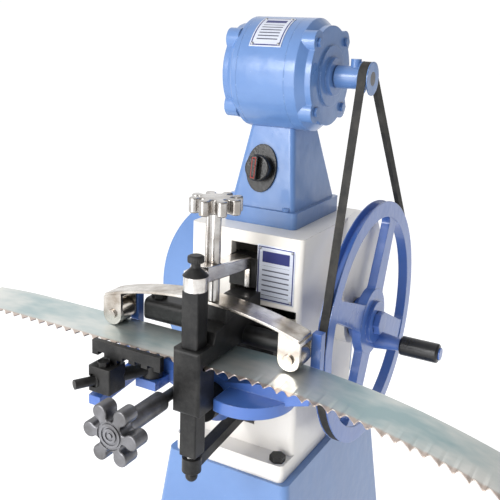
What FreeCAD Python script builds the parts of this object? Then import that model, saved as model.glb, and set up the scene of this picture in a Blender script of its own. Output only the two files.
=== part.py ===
import FreeCAD, Part
import math
import os

# Saw tooth setting machine in millimetres.
# The sizes below are measured from the column's front face (Y), the middle of the column (X)
# and the top of the pedestal (Z). Every shape is moved at the end so that the origin is the
# middle of the pedestal's foot, on the floor.

# Fits and small common sizes
running = 0.05          # radial clearance of a turning fit
sliding = 0.15          # clearance a side of a sliding fit
seat_gap = 0.3          # gap between two pieces that nearly touch
overrun = 5.0           # how far a cutting shape passes the face that it cuts
edge_round = 2.0        # common small radius on machined edges
cast_round = 4.0        # common radius on castings

# Pedestal and column
pedestal_height = 620.0
pedestal_splay_share = 0.11
pedestal_wall = 5.0
pedestal_lip = 4.0
pedestal_side_lip = 9.0
pedestal_rear_lip = 12.0
pedestal_corner = 10.0
column_width = 150.0
column_depth = 184.0
column_height = 293.0
column_wall = 12.0
column_corner = 7.0
foot_height = 22.0
foot_front = 27.3
foot_rear = 55.0
foot_bolt_side = 12.0
foot_bolt_inset = 12.0

# Openings in the front of the column
window_width = 36.0
window_low = 187.0
window_high = 278.0
throat_right = 70.0
throat_high = 206.0
throat_low = 192.0
lever_window_low = 50.0
lever_window_high = 84.0
lever_window_right = 22.0

# Setting head: a black casting that holds the two rams over and under the blade
head_x = 6.5
head_width = 34.0
head_front = 134.0
head_jaw_depth = 34.0
head_low = 118.0
head_high = 192.0
head_wall = 8.0
arm_low = 174.0
arm_front_high = 204.0
arm_rear_high = 222.0
arm_knee = 25.0
head_plate_thick = 12.0
head_plate_width = 86.0
head_plate_low = 134.0
head_plate_high = 186.0
head_bolt_inset = 9.0
cross_radius = 11.5
cross_reach = 54.0
cross_y = 30.0
cross_z = 178.5
left_arm_reach = 41.0
left_arm_height = 20.0
left_arm_depth = 22.0
ram_side = 21.0
ram_y = 117.5
ram_top = 255.0
ram_corner = 2.0
lower_ram_bottom = 65.0
ram_tip_depth = 10.0
ram_tip_height = 8.0

# Saw blade lying flat, teeth to the front
blade_width = 74.0
blade_rear = 50.0
blade_low = 170.0
blade_thick = 1.4
blade_flat_left = 260.0
blade_flat_right = 55.0
blade_left_end = 349.0
blade_right_end = 345.0
blade_left_drop = 4.0
blade_right_drop = 48.0
tooth_pitch = 10.0
tooth_depth = 5.5
tooth_tip = 0.8
blade_gap = 0.3

# Bar over the ram, its slide in the window, the screws and the knob above it
slide_high = 262.0
slide_low = 226.0
slide_proud = 3.0
slide_reach = 22.0
slide_flange = 6.0
bar_left = 12.0
bar_right = 11.0
bar_front = 112.0
bar_rear_low = 249.0
bar_rear_high = 264.0
bar_front_low = 259.0
bar_front_high = 277.0
bar_hook_drop = 22.0
bar_hook_thick = 4.0
bar_hook_width = 6.0
bar_eye_radius = 13.0
bar_eye_height = 16.0
bar_pass = 1.2            # clearance of the rods that pass through the bar
screw_x = 2.0
screw_y = 72.0
screw_radius = 6.5
screw_foot_radius = 4.0
screw_foot_low = 200.0
knob_z = 330.0
knob_radius = 30.0
knob_thick = 17.0
knob_lobe_radius = 5.9
knob_valley_radius = 3.6
knob_lobes = 8
guide_x = -7.5
guide_radius = 2.6
guide_gap = 2.0
thumb_radius = 4.0
thumb_cone_radius = 14.0
thumb_cone_height = 9.0
thumb_depth = 26.0
thumb_neck_radius = 5.0
thumb_head_radius = 8.0
thumb_head_height = 8.0
thumb_neck_height = 5.0

# Leaf spring with a roller at each end
leaf_x = -17.0
leaf_front = 80.0
leaf_width = 32.0
leaf_half_span = 128.0
leaf_top = 229.5
leaf_drop = 20.0
leaf_thick = 3.0
roller_left = 134.0
roller_right = 100.0
roller_radius = 13.5
roller_pin_radius = 4.0
fork_cheek = 3.5
fork_cheek_radius = 13.0
fork_web = 4.0
pin_head_radius = 6.0
pin_head_height = 3.0

# Blue blade table under the blade, with an upright at each end behind it
drum_x = 3.0
drum_z = 112.0
drum_radius = 20.0
drum_front = 96.0
table_front = 72.0
table_rear = 40.0
table_hub_radius = 29.0
table_arm_height = 20.0
table_hub_drop = 14.0
table_end_low = 135.0
table_right = 123.0
table_left = 130.0
plate_x = 45.0
plate_y = 58.0
plate_radius = 52.0
plate_low = 117.0
plate_high = 131.0
upright_thick = 11.0
upright_high = 207.0
upright_depth = 11.0
outrigger_front = 150.0
outrigger_rear_z = 128.0
outrigger_front_z = 116.0
outrigger_x = 104.0
outrigger_width = 16.0
outrigger_thick = 11.0

# Back gauge behind the blade, on the left
gauge_left = 111.0
gauge_low = 172.0
gauge_high = 200.0
gauge_front = 47.0
gauge_rear = 14.0
gauge_corner = 8.0
gauge_bolt_x = 98.0
gauge_bolt_y = 33.0

# Depth screw with the star knob that faces the front
depth_x = -19.0
depth_z = 131.0
depth_face = 230.0
depth_knob_thick = 20.0
depth_knob_radius = 33.5
depth_lobe_radius = 8.3
depth_valley_radius = 4.5
depth_lobes = 6
depth_thick_radius = 11.0
depth_thick_end = 143.0
depth_thin_radius = 6.0
depth_ring_radius = 15.0
depth_ring_width = 2.2
depth_ring_depth = 1.5
depth_boss_radius = 13.0
depth_boss_front = 84.0
depth_engage = 14.0

# Feed arm, its clamp and the pawl that pushes the teeth
feed_z = 135.0
feed_pivot_x = 70.0
feed_pivot_y = 86.0
feed_clamp_x = 97.0
feed_clamp_y = 136.0
feed_bar_radius = 8.0
feed_stud_radius = 5.5
feed_stud_length = 24.0
feed_clamp_side = 30.0
feed_clamp_low = 122.0
feed_clamp_high = 152.0
feed_lug_thick = 11.0
feed_lug_width = 28.0
feed_boss_radius = 12.0
feed_boss_height = 20.0
feed_pin_radius = 5.0
feed_bolt_forward = 6.0
pawl_left = 120.0
pawl_right = 26.0
pawl_front = 134.0
pawl_thick = 7.0
pawl_low = 158.0
pawl_high = 175.0
pawl_notch = 9.0
pawl_notches = 5
pawl_tab_width = 10.0
pawl_tab_x = 90.0

# Lower lever with its screw
lever_width = 14.0
lever_height = 13.0
lever_front_z = 52.0
lever_pivot_y = 6.0
lever_pivot_z = 66.0
lever_pin_radius = 4.0
lever_eye_radius = 11.0
lever_rear_z = 117.0
lever_boss_radius = 9.0
lever_rear_radius = 8.0
lever_pin_hold = 10.0
adjust_radius = 4.5
adjust_ball_radius = 7.0
adjust_ball_z = 37.0
lock_nut_height = 4.0
lock_nut_across = 15.0

# Main shaft, eccentrics and the upper lever inside the column
shaft_from_rear = 44.0    # the shaft's middle in front of the column's rear face
shaft_z = 160.0
shaft_radius = 14.0
shaft_left = 92.0
bearing_radius = 24.0
bearing_width = 14.0
housing_radius = 67.0
housing_from_rear = 26.0
housing_z = 230.0
housing_thick = 15.0
housing_boss_radius = 34.0
left_boss_thick = 10.0
eccentric_radius = 24.0
eccentric_throw = 4.0
upper_lever_x = -10.0
upper_lever_width = 11.0
upper_lever_pivot_y = 62.0
upper_lever_z = 232.0
upper_tip_radius = 6.0
upper_tip_y = 27.0
upper_rear_z = 204.5
upper_lug_depth = 17.0
upper_lug_height = 24.0
upper_lug_wall = 5.0
upper_lug_play = 1.0
upper_pin_hold = 6.0
upper_pin_radius = 5.0
upper_boss_radius = 10.0

# Flywheel, which is the big belt pulley, and its crank
belt_offset = 35.0        # the belt's middle outside the column's side
pulley_width = 13.0
wheel_radius = 156.5
wheel_rim = 20.0
groove_width = 10.6
groove_foot = 6.6
groove_depth = 8.0
belt_width = 9.8
belt_foot = 5.8
belt_height = 7.0
wheel_hub_radius = 43.0
wheel_hub_thick = 12.0
wheel_step_radius = 27.0
wheel_step_height = 5.0
wheel_hub_offset = 18.0   # the hub's inner end outside the column's side
spoke_count = 4
spoke_turn = 67.0
spoke_hub_width = 36.0
spoke_rim_width = 24.0
spoke_thick = 11.0
spoke_round = 8.0
wheel_nut_radius = 13.0
wheel_nut_height = 8.0
crank_y = 20.0
crank_z = 32.0
crank_shank_radius = 8.0
crank_root_radius = 12.0
crank_shank_length = 33.0
crank_spindle_radius = 5.0
grip_radius = 12.5
grip_length = 50.0
grip_round = 3.0

# Motor on its stand
motor_y = 72.0
motor_rise = 179.3        # the motor's middle above the column
motor_radius = 65.0
motor_left = 24.0
motor_seam = 36.4
motor_wall = 6.0
bell_thick = 29.0
bell_shoulder = 9.0
bell_lip = 7.0
bell_face_radius = 57.0
bell_ring_radius = 35.0
bell_ring_height = 2.5
bell_boss_radius = 22.0
bell_boss_height = 7.5
rear_bell_thick = 22.0
motor_shaft_radius = 8.0
motor_bearing_radius = 17.0
motor_bearing_width = 10.0
stator_inner = 36.0
stator_length = 48.0
rotor_gap = 0.6
pulley_hub_left = 74.0
pulley_hub_radius = 13.0
small_pulley_radius = 19.0
pulley_boss_radius = 6.0
pulley_boss_height = 21.0
tie_bolt_circle = 54.0
tie_bolt_radius = 3.0
tie_bolt_count = 4
tie_lug_radius = 13.0
tie_head_across = 10.0
tie_head_height = 3.5
stand_left = 49.0
stand_right = 48.0
stand_front = 33.0
stand_rear = 166.0
stand_flange = 20.0
stand_wall = 6.0
stand_step = 5.0
stand_top_left = 27.0
stand_top_right = 30.0
stand_top_front = 54.0
stand_top_rear = 122.0
stand_height = 119.0
stand_corner = 6.0
switch_x = -5.0
switch_rise = 67.0
switch_plate_width = 40.0
switch_plate_height = 58.0
switch_plate_thick = 3.0
switch_knob_radius = 16.0
switch_knob_height = 12.0
switch_grip_width = 8.0
switch_grip_height = 8.0
switch_stem_radius = 4.0

# Cover on the back of the column
guard_circle = 168.0
guard_centre_x = -75.0
guard_centre_z = 130.0
guard_left = 243.0
guard_right = 60.0
guard_low = 35.0
guard_high = 291.0
guard_depth = 40.0
guard_wall = 3.0
guard_corner = 14.0
guard_bolt_x = 40.0
guard_bolt_low = 70.0
guard_bolt_high = 225.0

# Hexagon bolts
bolt_radius = 5.0
bolt_head_across = 17.0
bolt_head_height = 7.0
small_bolt_radius = 4.0
small_bolt_across = 13.0
small_bolt_height = 5.5
bolt_length = 24.0

V = FreeCAD.Vector
AXIS_X = V(1, 0, 0)
AXIS_Y = V(0, 1, 0)
AXIS_Z = V(0, 0, 1)

blade_high = blade_low + blade_thick
shaft_y = column_depth - shaft_from_rear
housing_y = column_depth - housing_from_rear
belt_x = column_width / 2 + belt_offset
wheel_hub_inner = column_width / 2 + wheel_hub_offset
motor_z = column_height + motor_rise
stand_top_z = column_height + stand_height
switch_z = column_height + switch_rise
pedestal_front = foot_front + pedestal_lip
pedestal_rear = column_depth + foot_rear + pedestal_rear_lip
pedestal_middle = (pedestal_rear - pedestal_front) / 2
bench = V(0, -pedestal_middle, pedestal_height)


def box(x, y, z):
    """A block between two values on each axis."""
    return Part.makeBox(x[1] - x[0], y[1] - y[0], z[1] - z[0], V(x[0], y[0], z[0]))


def round_x(y, z, radius, x):
    """A cylinder along X between two values."""
    return Part.makeCylinder(radius, x[1] - x[0], V(x[0], y, z), AXIS_X)


def round_y(x, z, radius, y):
    """A cylinder along Y between two values."""
    return Part.makeCylinder(radius, y[1] - y[0], V(x, y[0], z), AXIS_Y)


def round_z(x, y, radius, z):
    """A cylinder along Z between two values."""
    return Part.makeCylinder(radius, z[1] - z[0], V(x, y, z[0]), AXIS_Z)


def about(middle, width):
    """The two ends of a width about its middle."""
    return (middle - width / 2, middle + width / 2)


def plate_yz(points, x):
    """A flat plate whose outline is given in Y and Z, between two X values."""
    outline = Part.makePolygon([V(x[0], y, z) for y, z in points + points[:1]])
    return Part.Face(outline).extrude(V(x[1] - x[0], 0, 0))


def plate_xz(points, y):
    """A flat plate whose outline is given in X and Z, between two Y values."""
    outline = Part.makePolygon([V(x, y[0], z) for x, z in points + points[:1]])
    return Part.Face(outline).extrude(V(0, y[1] - y[0], 0))


def rectangle(x, y, z):
    """A level rectangle as a wire, for lofts."""
    corners = [V(x[0], y[0], z), V(x[1], y[0], z), V(x[1], y[1], z), V(x[0], y[1], z)]
    return Part.makePolygon(corners + corners[:1])


def loft(lower, upper):
    """A straight-sided solid between two rectangles."""
    return Part.makeLoft([lower, upper], True, True)


def edges_along(shape, axis):
    """The straight edges of a shape that run along one axis."""
    found = []
    for edge in shape.Edges:
        if edge.Curve.TypeId != "Part::GeomLine":
            continue
        direction = edge.Vertexes[1].Point - edge.Vertexes[0].Point
        if direction.cross(axis).Length < direction.Length * 1e-6:
            found.append(edge)
    return found


def fuse(*shapes):
    """One solid from several that touch or overlap."""
    return shapes[0].fuse(list(shapes[1:])).removeSplitter()


def hexagon(across, height, base, axis):
    """A hexagonal prism that stands on a point and runs along an axis."""
    side = V(0, 0, 1) if abs(axis.z) < 0.9 else V(1, 0, 0)
    first = axis.cross(side).normalize() * (across / math.sqrt(3))
    turn = [FreeCAD.Rotation(axis, 60 * k).multVec(first) for k in range(6)]
    corners = [base + t for t in turn]
    return Part.Face(Part.makePolygon(corners + corners[:1])).extrude(axis * height)


def bolt(seat, axis, radius, length, across, height):
    """A hexagon bolt: its head stands on the seat and its shank runs back into the work."""
    head = hexagon(across, height, seat, axis)
    shank = Part.makeCylinder(radius, length, seat - axis * length, axis)
    return fuse(head, shank)


def star(radius, lobes, lobe_radius, valley_radius, thick, rounding):
    """A knob with round lobes: convex and hollow arcs that meet tangentially, run along Z."""
    half = math.pi / lobes
    lobe_at = radius - lobe_radius
    reach = lobe_radius + valley_radius
    valley_at = lobe_at * math.cos(half) - math.sqrt(reach ** 2 - (lobe_at * math.sin(half)) ** 2)

    def polar(distance, angle):
        return V(distance * math.cos(angle), distance * math.sin(angle), 0)

    arcs = []
    for k in range(lobes):
        middle = 2 * half * k
        lobe = polar(lobe_at, middle)
        before = polar(valley_at, middle - half)
        after = polar(valley_at, middle + half)
        start = lobe + (before - lobe) * (lobe_radius / reach)
        end = lobe + (after - lobe) * (lobe_radius / reach)
        following = polar(lobe_at, middle + 2 * half)
        next_start = following + (after - following) * (lobe_radius / reach)
        arcs.append(Part.Arc(start, polar(radius, middle), end).toShape())
        arcs.append(Part.Arc(end, polar(valley_at - valley_radius, middle + half), next_start).toShape())
    body = Part.Face(Part.Wire(arcs)).extrude(V(0, 0, thick))
    rims = [e for e in body.Edges if e.Vertexes[0].Z == e.Vertexes[-1].Z]
    return body.makeFillet(rounding, rims)


def place(shape, base, axis):
    """Turn a shape made along Z to another axis and put its foot at a point."""
    copy = shape.copy()
    copy.Placement = FreeCAD.Placement(base, FreeCAD.Rotation(AXIS_Z, axis))
    return copy


nodes = {}


def save(name, *shapes):
    """Keep a piece, or a group of like pieces, under its name."""
    shape = shapes[0] if len(shapes) == 1 else Part.makeCompound(list(shapes))
    shape = shape.copy()
    shape.translate(bench)
    nodes[name] = shape
    shape.exportStep("parts/" + name + ".step")


os.makedirs("parts", exist_ok=True)


def make_pedestal():
    """Hollow pedestal: four sloping walls between a flat top and a floor plate."""
    half = column_width / 2 + pedestal_side_lip
    top_x, top_y = (-half, half), (-pedestal_front, pedestal_rear)
    spread = pedestal_height * pedestal_splay_share
    foot_x = (-half - spread, half + spread)
    foot_y = (-pedestal_front - spread, pedestal_rear + spread)
    outer = loft(rectangle(foot_x, foot_y, -pedestal_height), rectangle(top_x, top_y, 0))
    corners = [e for e in outer.Edges if abs(e.Vertexes[0].Z - e.Vertexes[1].Z) > pedestal_wall]
    outer = outer.makeFillet(pedestal_corner, corners)
    w = pedestal_wall
    inner_foot = rectangle((foot_x[0] + w, foot_x[1] - w), (foot_y[0] + w, foot_y[1] - w),
                           -pedestal_height + w)
    inner_top = rectangle((top_x[0] + w, top_x[1] - w), (top_y[0] + w, top_y[1] - w), -w)
    return outer.cut(loft(inner_foot, inner_top))


def foot_bolt_places():
    """Seats of the four bolts that hold the column's foot to the pedestal."""
    x = column_width / 2 - foot_bolt_side
    rear = column_depth + foot_rear - foot_bolt_inset
    return [V(sx * x, y, foot_height) for sx in (-1, 1) for y in (-foot_front + foot_bolt_inset, rear)]


def make_column():
    """Hollow cast column on a foot, with a slide window, a throat and a lever window."""
    half = column_width / 2
    tower = box((-half, half), (0, column_depth), (0, column_height))
    tower = tower.makeFillet(column_corner, edges_along(tower, AXIS_Z))
    foot = box((-half, half), (-foot_front, column_depth + foot_rear), (0, foot_height))
    foot = foot.makeFillet(column_corner, edges_along(foot, AXIS_Z))
    boss = round_x(shaft_y, shaft_z, housing_boss_radius, (-half - left_boss_thick, 0))
    shape = fuse(tower, foot, boss)
    w = column_wall
    shape = shape.cut(box((-half + w, half - w), (w, column_depth - w), (-overrun, column_height - w)))
    through = (-overrun, w + overrun)
    shape = shape.cut(box(about(0, window_width), through, (window_low, window_high)))
    shape = shape.cut(box((0, throat_right), through, (throat_low, throat_high)))
    shape = shape.cut(box((lever_left, lever_window_right), through, (lever_window_low, lever_window_high)))
    shape = shape.cut(round_x(shaft_y, shaft_z, bearing_radius,
                              (-half - left_boss_thick - overrun, half + overrun)))
    for seat in foot_bolt_places():
        shape = shape.cut(round_z(seat.x, seat.y, bolt_radius, (-overrun, foot_height + overrun)))
    for x, z in head_bolt_places():
        shape = shape.cut(round_y(x, z, small_bolt_radius, (-overrun, w)))
    for x, z in guard_bolt_places():
        shape = shape.cut(round_y(x, z, small_bolt_radius, (column_depth - w, column_depth + overrun)))
    for seat in stand_bolt_places():
        shape = shape.cut(round_z(seat.x, seat.y, small_bolt_radius,
                                  (seat.z - overrun, seat.z + bolt_length)))
    shape = shape.cut(round_x(lever_pivot_y, lever_pivot_z, lever_pin_radius, lever_pin_x))
    return shape.cut(round_x(upper_lever_pivot_y, upper_lever_z, upper_pin_radius, upper_pin_x))


def head_bolt_places():
    """X and Z of the four bolts that hold the setting head to the column."""
    x = head_plate_width / 2 - head_bolt_inset
    rows = (head_plate_low + head_bolt_inset, head_plate_high - head_bolt_inset)
    return [(head_x + s * x, z) for s in (-1, 1) for z in rows]


def guard_bolt_places():
    """X and Z of the four bolts that hold the rear cover to the column."""
    return [(s * guard_bolt_x, z) for s in (-1, 1) for z in (guard_bolt_low, guard_bolt_high)]


def stand_bolt_places():
    """Seats of the four bolts that come up through the column's top into the stand's flange."""
    x = (-stand_left + stand_corner, stand_right - stand_corner)
    y = (stand_front + stand_corner, stand_rear - stand_corner)
    return [V(a, b, column_height - column_wall) for a in x for b in y]


lever_left = head_x - lever_width / 2 - bolt_radius
lever_pin_x = (lever_left - lever_pin_hold, lever_window_right + lever_pin_hold)
upper_pin_x = about(0, column_width - 2 * (column_wall - upper_pin_hold))
pedestal = make_pedestal()
for seat in foot_bolt_places():
    pedestal = pedestal.cut(round_z(seat.x, seat.y, bolt_radius, (-bolt_length, overrun)))
save("pedestal", pedestal)
save("column", make_column())
save("foot_bolts", *[bolt(seat, AXIS_Z, bolt_radius - running, foot_height + pedestal_wall,
                          bolt_head_across, bolt_head_height) for seat in foot_bolt_places()])


def make_bearing_housing():
    """Round cover on the right of the column, in one casting with the shaft's boss."""
    x = (column_width / 2, column_width / 2 + housing_thick)
    cover = round_x(housing_y, housing_z, housing_radius, x)
    boss = round_x(shaft_y, shaft_z, housing_boss_radius, x)
    bore = round_x(shaft_y, shaft_z, bearing_radius, (x[0] - overrun, x[1] + overrun))
    return fuse(cover, boss).cut(bore)


def bearing_x():
    """Where the two shaft bearings sit, left and right."""
    right = column_width / 2 + housing_thick - bearing_width
    return [(-column_width / 2, -column_width / 2 + bearing_width), (right, right + bearing_width)]


save("bearing_housing", make_bearing_housing())
save("main_bearings", *[round_x(shaft_y, shaft_z, bearing_radius, x).cut(
    round_x(shaft_y, shaft_z, shaft_radius + running, x)) for x in bearing_x()])
save("main_shaft", round_x(shaft_y, shaft_z, shaft_radius, (-shaft_left, belt_x + wheel_hub_thick / 2)))


def make_eccentric(x, angle):
    """A round disc set off centre on the shaft."""
    y = shaft_y + eccentric_throw * math.cos(math.radians(angle))
    z = shaft_z + eccentric_throw * math.sin(math.radians(angle))
    disc = round_x(y, z, eccentric_radius, x)
    return disc.cut(round_x(shaft_y, shaft_z, shaft_radius, (x[0] - overrun, x[1] + overrun)))


save("eccentrics", make_eccentric(about(upper_lever_x, upper_lever_width), 180),
     make_eccentric(about(head_x, lever_width), 0))


def groove(radius):
    """The ring that cuts a belt groove, as an outline in X and distance from the axis."""
    floor = radius - groove_depth
    slope = (groove_width - groove_foot) / 2 / groove_depth
    top = groove_width / 2 + slope * overrun
    return [(-groove_foot / 2, floor), (groove_foot / 2, floor),
            (top, radius + overrun), (-top, radius + overrun)]


def ring(outline, y, z):
    """A solid of revolution about an X axis, from an outline in X and radius."""
    wire = Part.makePolygon([V(belt_x + x, y, z + r) for x, r in outline + outline[:1]])
    return Part.Face(wire).revolve(V(belt_x, y, z), AXIS_X, 360)


def make_flywheel():
    """Spoked wheel with a belt groove in its rim and a stepped hub."""
    x = about(belt_x, pulley_width)
    far = (x[0] - overrun, x[1] + overrun)
    rim = round_x(shaft_y, shaft_z, wheel_radius, x)
    rim = rim.cut(round_x(shaft_y, shaft_z, wheel_radius - wheel_rim, far))
    hub = round_x(shaft_y, shaft_z, wheel_hub_radius, about(belt_x, wheel_hub_thick))
    step = round_x(shaft_y, shaft_z, wheel_step_radius,
                   (wheel_hub_inner, belt_x + wheel_step_height + wheel_hub_thick / 2))
    reach = wheel_radius - wheel_rim / 2
    half_hub, half_rim = spoke_hub_width / 2, spoke_rim_width / 2
    outline = [(0, -half_hub), (reach, -half_rim), (reach, half_rim), (0, half_hub)]
    window = round_x(shaft_y, shaft_z, wheel_radius - wheel_rim, about(belt_x, spoke_thick)).cut(hub)
    for k in range(spoke_count):
        spoke = plate_yz([(shaft_y + y, shaft_z + z) for y, z in outline], far)
        spoke.rotate(V(0, shaft_y, shaft_z), AXIS_X, spoke_turn + 360 / spoke_count * k)
        window = window.cut(spoke)
    web = round_x(shaft_y, shaft_z, wheel_radius - wheel_rim, about(belt_x, spoke_thick))
    for opening in window.Solids:
        corners = [e for e in edges_along(opening, AXIS_X)
                   if len(opening.ancestorsOfType(e, Part.Face)) > 1]
        web = web.cut(opening.makeFillet(spoke_round, corners))
    wheel = fuse(rim, hub, web)
    wheel = fuse(wheel, step).cut(ring(groove(wheel_radius), shaft_y, shaft_z))
    bore = round_x(shaft_y, shaft_z, shaft_radius, (0, far[1] + overrun))
    pin_y, pin_z = shaft_y + crank_y, shaft_z - crank_z
    return wheel.cut(bore).cut(round_x(pin_y, pin_z, crank_spindle_radius, far))


wheel_face = belt_x + wheel_step_height + wheel_hub_thick / 2
crank_at = (shaft_y + crank_y, shaft_z - crank_z)
crank_face = belt_x + wheel_hub_thick / 2
shank_end = crank_face + crank_shank_length
grip_start = shank_end + seat_gap
grip_end = grip_start + grip_length


def make_crank_pin():
    """Shouldered pin: a foot in the hub, a tapered boss, and a thin spindle with a head at its end."""
    far = belt_x - wheel_hub_thick / 2
    foot = round_x(*crank_at, crank_spindle_radius, (far, grip_end + seat_gap))
    shank = Part.makeCone(crank_root_radius, crank_shank_radius, crank_shank_length,
                          V(crank_face, *crank_at), AXIS_X)
    head = round_x(*crank_at, crank_shank_radius, (grip_end + seat_gap, grip_end + seat_gap + edge_round))
    shape = fuse(foot, shank, head)
    return shape.cut(round_x(shaft_y, shaft_z, wheel_step_radius, (crank_face - overrun, wheel_face)))


def make_grip():
    """Black barrel that turns on the crank pin."""
    barrel = round_x(*crank_at, grip_radius, (grip_start, grip_end))
    barrel = barrel.makeFillet(grip_round, [e for e in barrel.Edges if e.Length > grip_radius])
    return barrel.cut(round_x(*crank_at, crank_spindle_radius + sliding,
                              (grip_start - overrun, grip_end + overrun)))


save("flywheel", make_flywheel())
save("wheel_nut", hexagon(wheel_nut_radius * 2, wheel_nut_height, V(wheel_face, shaft_y, shaft_z), AXIS_X))
save("crank_pin", make_crank_pin())
save("crank_grip", make_grip())


def make_belt():
    """Vee belt round both pulleys: two straight runs and two arcs of one section."""
    small, big = small_pulley_radius - seat_gap, wheel_radius - seat_gap
    rise, back = motor_z - shaft_z, motor_y - shaft_y
    span = math.hypot(rise, back)
    lean = math.degrees(math.atan2(-back, rise))
    dip = math.degrees(math.asin((big - small) / span))
    straight = math.sqrt(span ** 2 - (big - small) ** 2)

    def section(radius):
        points = [(-belt_foot / 2, radius - belt_height), (belt_foot / 2, radius - belt_height),
                  (belt_width / 2, radius), (-belt_width / 2, radius)]
        return Part.Face(Part.makePolygon([V(belt_x + x, 0, r) for x, r in points + points[:1]]))

    pieces = []
    upper, lower = V(belt_x, motor_y, motor_z), V(belt_x, shaft_y, shaft_z)
    for sign in (-1, 1):
        turn = lean + sign * (90 - dip)
        run = section(big)
        run = run.extrude(V(0, sign * straight, 0)) if sign < 0 else run.extrude(V(0, straight, 0))
        run.rotate(V(belt_x, 0, 0), AXIS_X, turn)
        run.translate(lower - V(belt_x, 0, 0))
        pieces.append(run)
    top = section(small).revolve(V(belt_x, 0, 0), AXIS_X, 180 - 2 * dip)
    top.rotate(V(belt_x, 0, 0), AXIS_X, lean - 90 + dip)
    top.translate(upper - V(belt_x, 0, 0))
    bottom = section(big).revolve(V(belt_x, 0, 0), AXIS_X, 180 + 2 * dip)
    bottom.rotate(V(belt_x, 0, 0), AXIS_X, lean + 90 - dip)
    bottom.translate(lower - V(belt_x, 0, 0))
    return fuse(*pieces, top, bottom)


save("v_belt", make_belt())


def make_motor_pulley():
    """Small grooved pulley with a long hub towards the motor and a boss for its set screw."""
    x = about(belt_x, pulley_width)
    disc = round_x(motor_y, motor_z, small_pulley_radius, x)
    hub = round_x(motor_y, motor_z, pulley_hub_radius, (pulley_hub_left, x[1]))
    boss_at = V(x[0] - pulley_boss_radius - edge_round, motor_y, motor_z)
    boss = Part.makeCylinder(pulley_boss_radius, pulley_boss_height, boss_at, AXIS_Z)
    shape = fuse(disc, hub, boss).cut(ring(groove(small_pulley_radius), motor_y, motor_z))
    return shape.cut(round_x(motor_y, motor_z, motor_shaft_radius,
                             (pulley_hub_left - overrun, x[1] + overrun)))


bell_face = motor_seam + bell_thick
motor_end = -motor_left - rear_bell_thick


def tie_places():
    """Centres of the long bolts that hold the two end bells."""
    angles = [math.radians(45 + 360 / tie_bolt_count * k) for k in range(tie_bolt_count)]
    return [(motor_y + tie_bolt_circle * math.cos(a), motor_z + tie_bolt_circle * math.sin(a))
            for a in angles]


def make_motor_shell():
    """Smooth motor casing, open at both ends."""
    x = (-motor_left, motor_seam)
    bore = round_x(motor_y, motor_z, motor_radius - motor_wall, x)
    return round_x(motor_y, motor_z, motor_radius, x).cut(bore)


def bell_body(seam, way, thick):
    """Solid end bell: a barrel, a sloping shoulder, and a face with a lug at each bolt."""
    def disc(y, z, radius, start, end):
        return Part.makeCylinder(radius, end - start, V(seam + way * start, y, z), AXIS_X * way)

    barrel = thick - bell_shoulder - bell_lip
    slope = Part.makeCone(motor_radius, bell_face_radius, bell_shoulder,
                          V(seam + way * barrel, motor_y, motor_z), AXIS_X * way)
    lugs = [disc(y, z, tie_lug_radius, barrel, thick) for y, z in tie_places()]
    face = disc(motor_y, motor_z, bell_face_radius, 0, thick)
    body = fuse(disc(motor_y, motor_z, motor_radius, 0, barrel), slope, face, *lugs)
    for y, z in tie_places():
        body = body.cut(disc(y, z, tie_bolt_radius + running, -overrun, thick + overrun))
    return body


def make_drive_bell():
    """End bell on the belt side, with a ring and a bearing boss on its face."""
    ring_end = bell_face + bell_ring_height
    raised = round_x(motor_y, motor_z, bell_ring_radius, (bell_face, ring_end))
    boss = round_x(motor_y, motor_z, bell_boss_radius, (motor_seam, bell_face + bell_boss_height))
    bell = fuse(bell_body(motor_seam, 1, bell_thick), raised, boss)
    seat = (motor_seam - overrun, bell_face - motor_wall)
    bell = bell.cut(round_x(motor_y, motor_z, motor_bearing_radius, seat))
    cup = round_x(motor_y, motor_z, motor_radius - motor_wall * 3,
                  (motor_seam - overrun, motor_seam + motor_wall))
    bore = (motor_seam, bell_face + motor_bearing_radius)
    return bell.cut(cup).cut(round_x(motor_y, motor_z, motor_shaft_radius + sliding, bore))


def make_rear_bell():
    """Closed end bell away from the belt."""
    seat = (-motor_left - motor_bearing_width, -motor_left + overrun)
    bore = round_x(motor_y, motor_z, motor_bearing_radius, seat)
    return bell_body(-motor_left, -1, rear_bell_thick).cut(bore)


def make_stator():
    """Thick ring round the rotor, holed for the long bolts."""
    ring_body = round_x(motor_y, motor_z, motor_radius - motor_wall, stator_x)
    ring_body = ring_body.cut(round_x(motor_y, motor_z, stator_inner, stator_x))
    for y, z in tie_places():
        ring_body = ring_body.cut(round_x(y, z, tie_bolt_radius + seat_gap, stator_x))
    return ring_body


def motor_bearing_x():
    """Where the two motor bearings sit."""
    right = bell_face - motor_wall
    return [(-motor_left - motor_bearing_width, -motor_left), (right - motor_bearing_width, right)]


stator_x = about((motor_seam - motor_left) / 2, stator_length)
save("motor_shell", make_motor_shell())
save("motor_drive_bell", make_drive_bell())
save("motor_rear_bell", make_rear_bell())
save("motor_stator", make_stator())
save("motor_bearings", *[round_x(motor_y, motor_z, motor_bearing_radius, x).cut(
    round_x(motor_y, motor_z, motor_shaft_radius + running, x)) for x in motor_bearing_x()])
save("motor_bolts", *[bolt(V(bell_face, y, z), AXIS_X, tie_bolt_radius, bell_face - motor_end,
                           tie_head_across, tie_head_height) for y, z in tie_places()])
save("motor_shaft", round_x(motor_y, motor_z, motor_shaft_radius,
                            (-motor_left - motor_bearing_width, belt_x + pulley_width / 2)))
save("motor_rotor", round_x(motor_y, motor_z, stator_inner - rotor_gap, stator_x).cut(
    round_x(motor_y, motor_z, motor_shaft_radius, stator_x)))
save("motor_pulley", make_motor_pulley())

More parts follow.
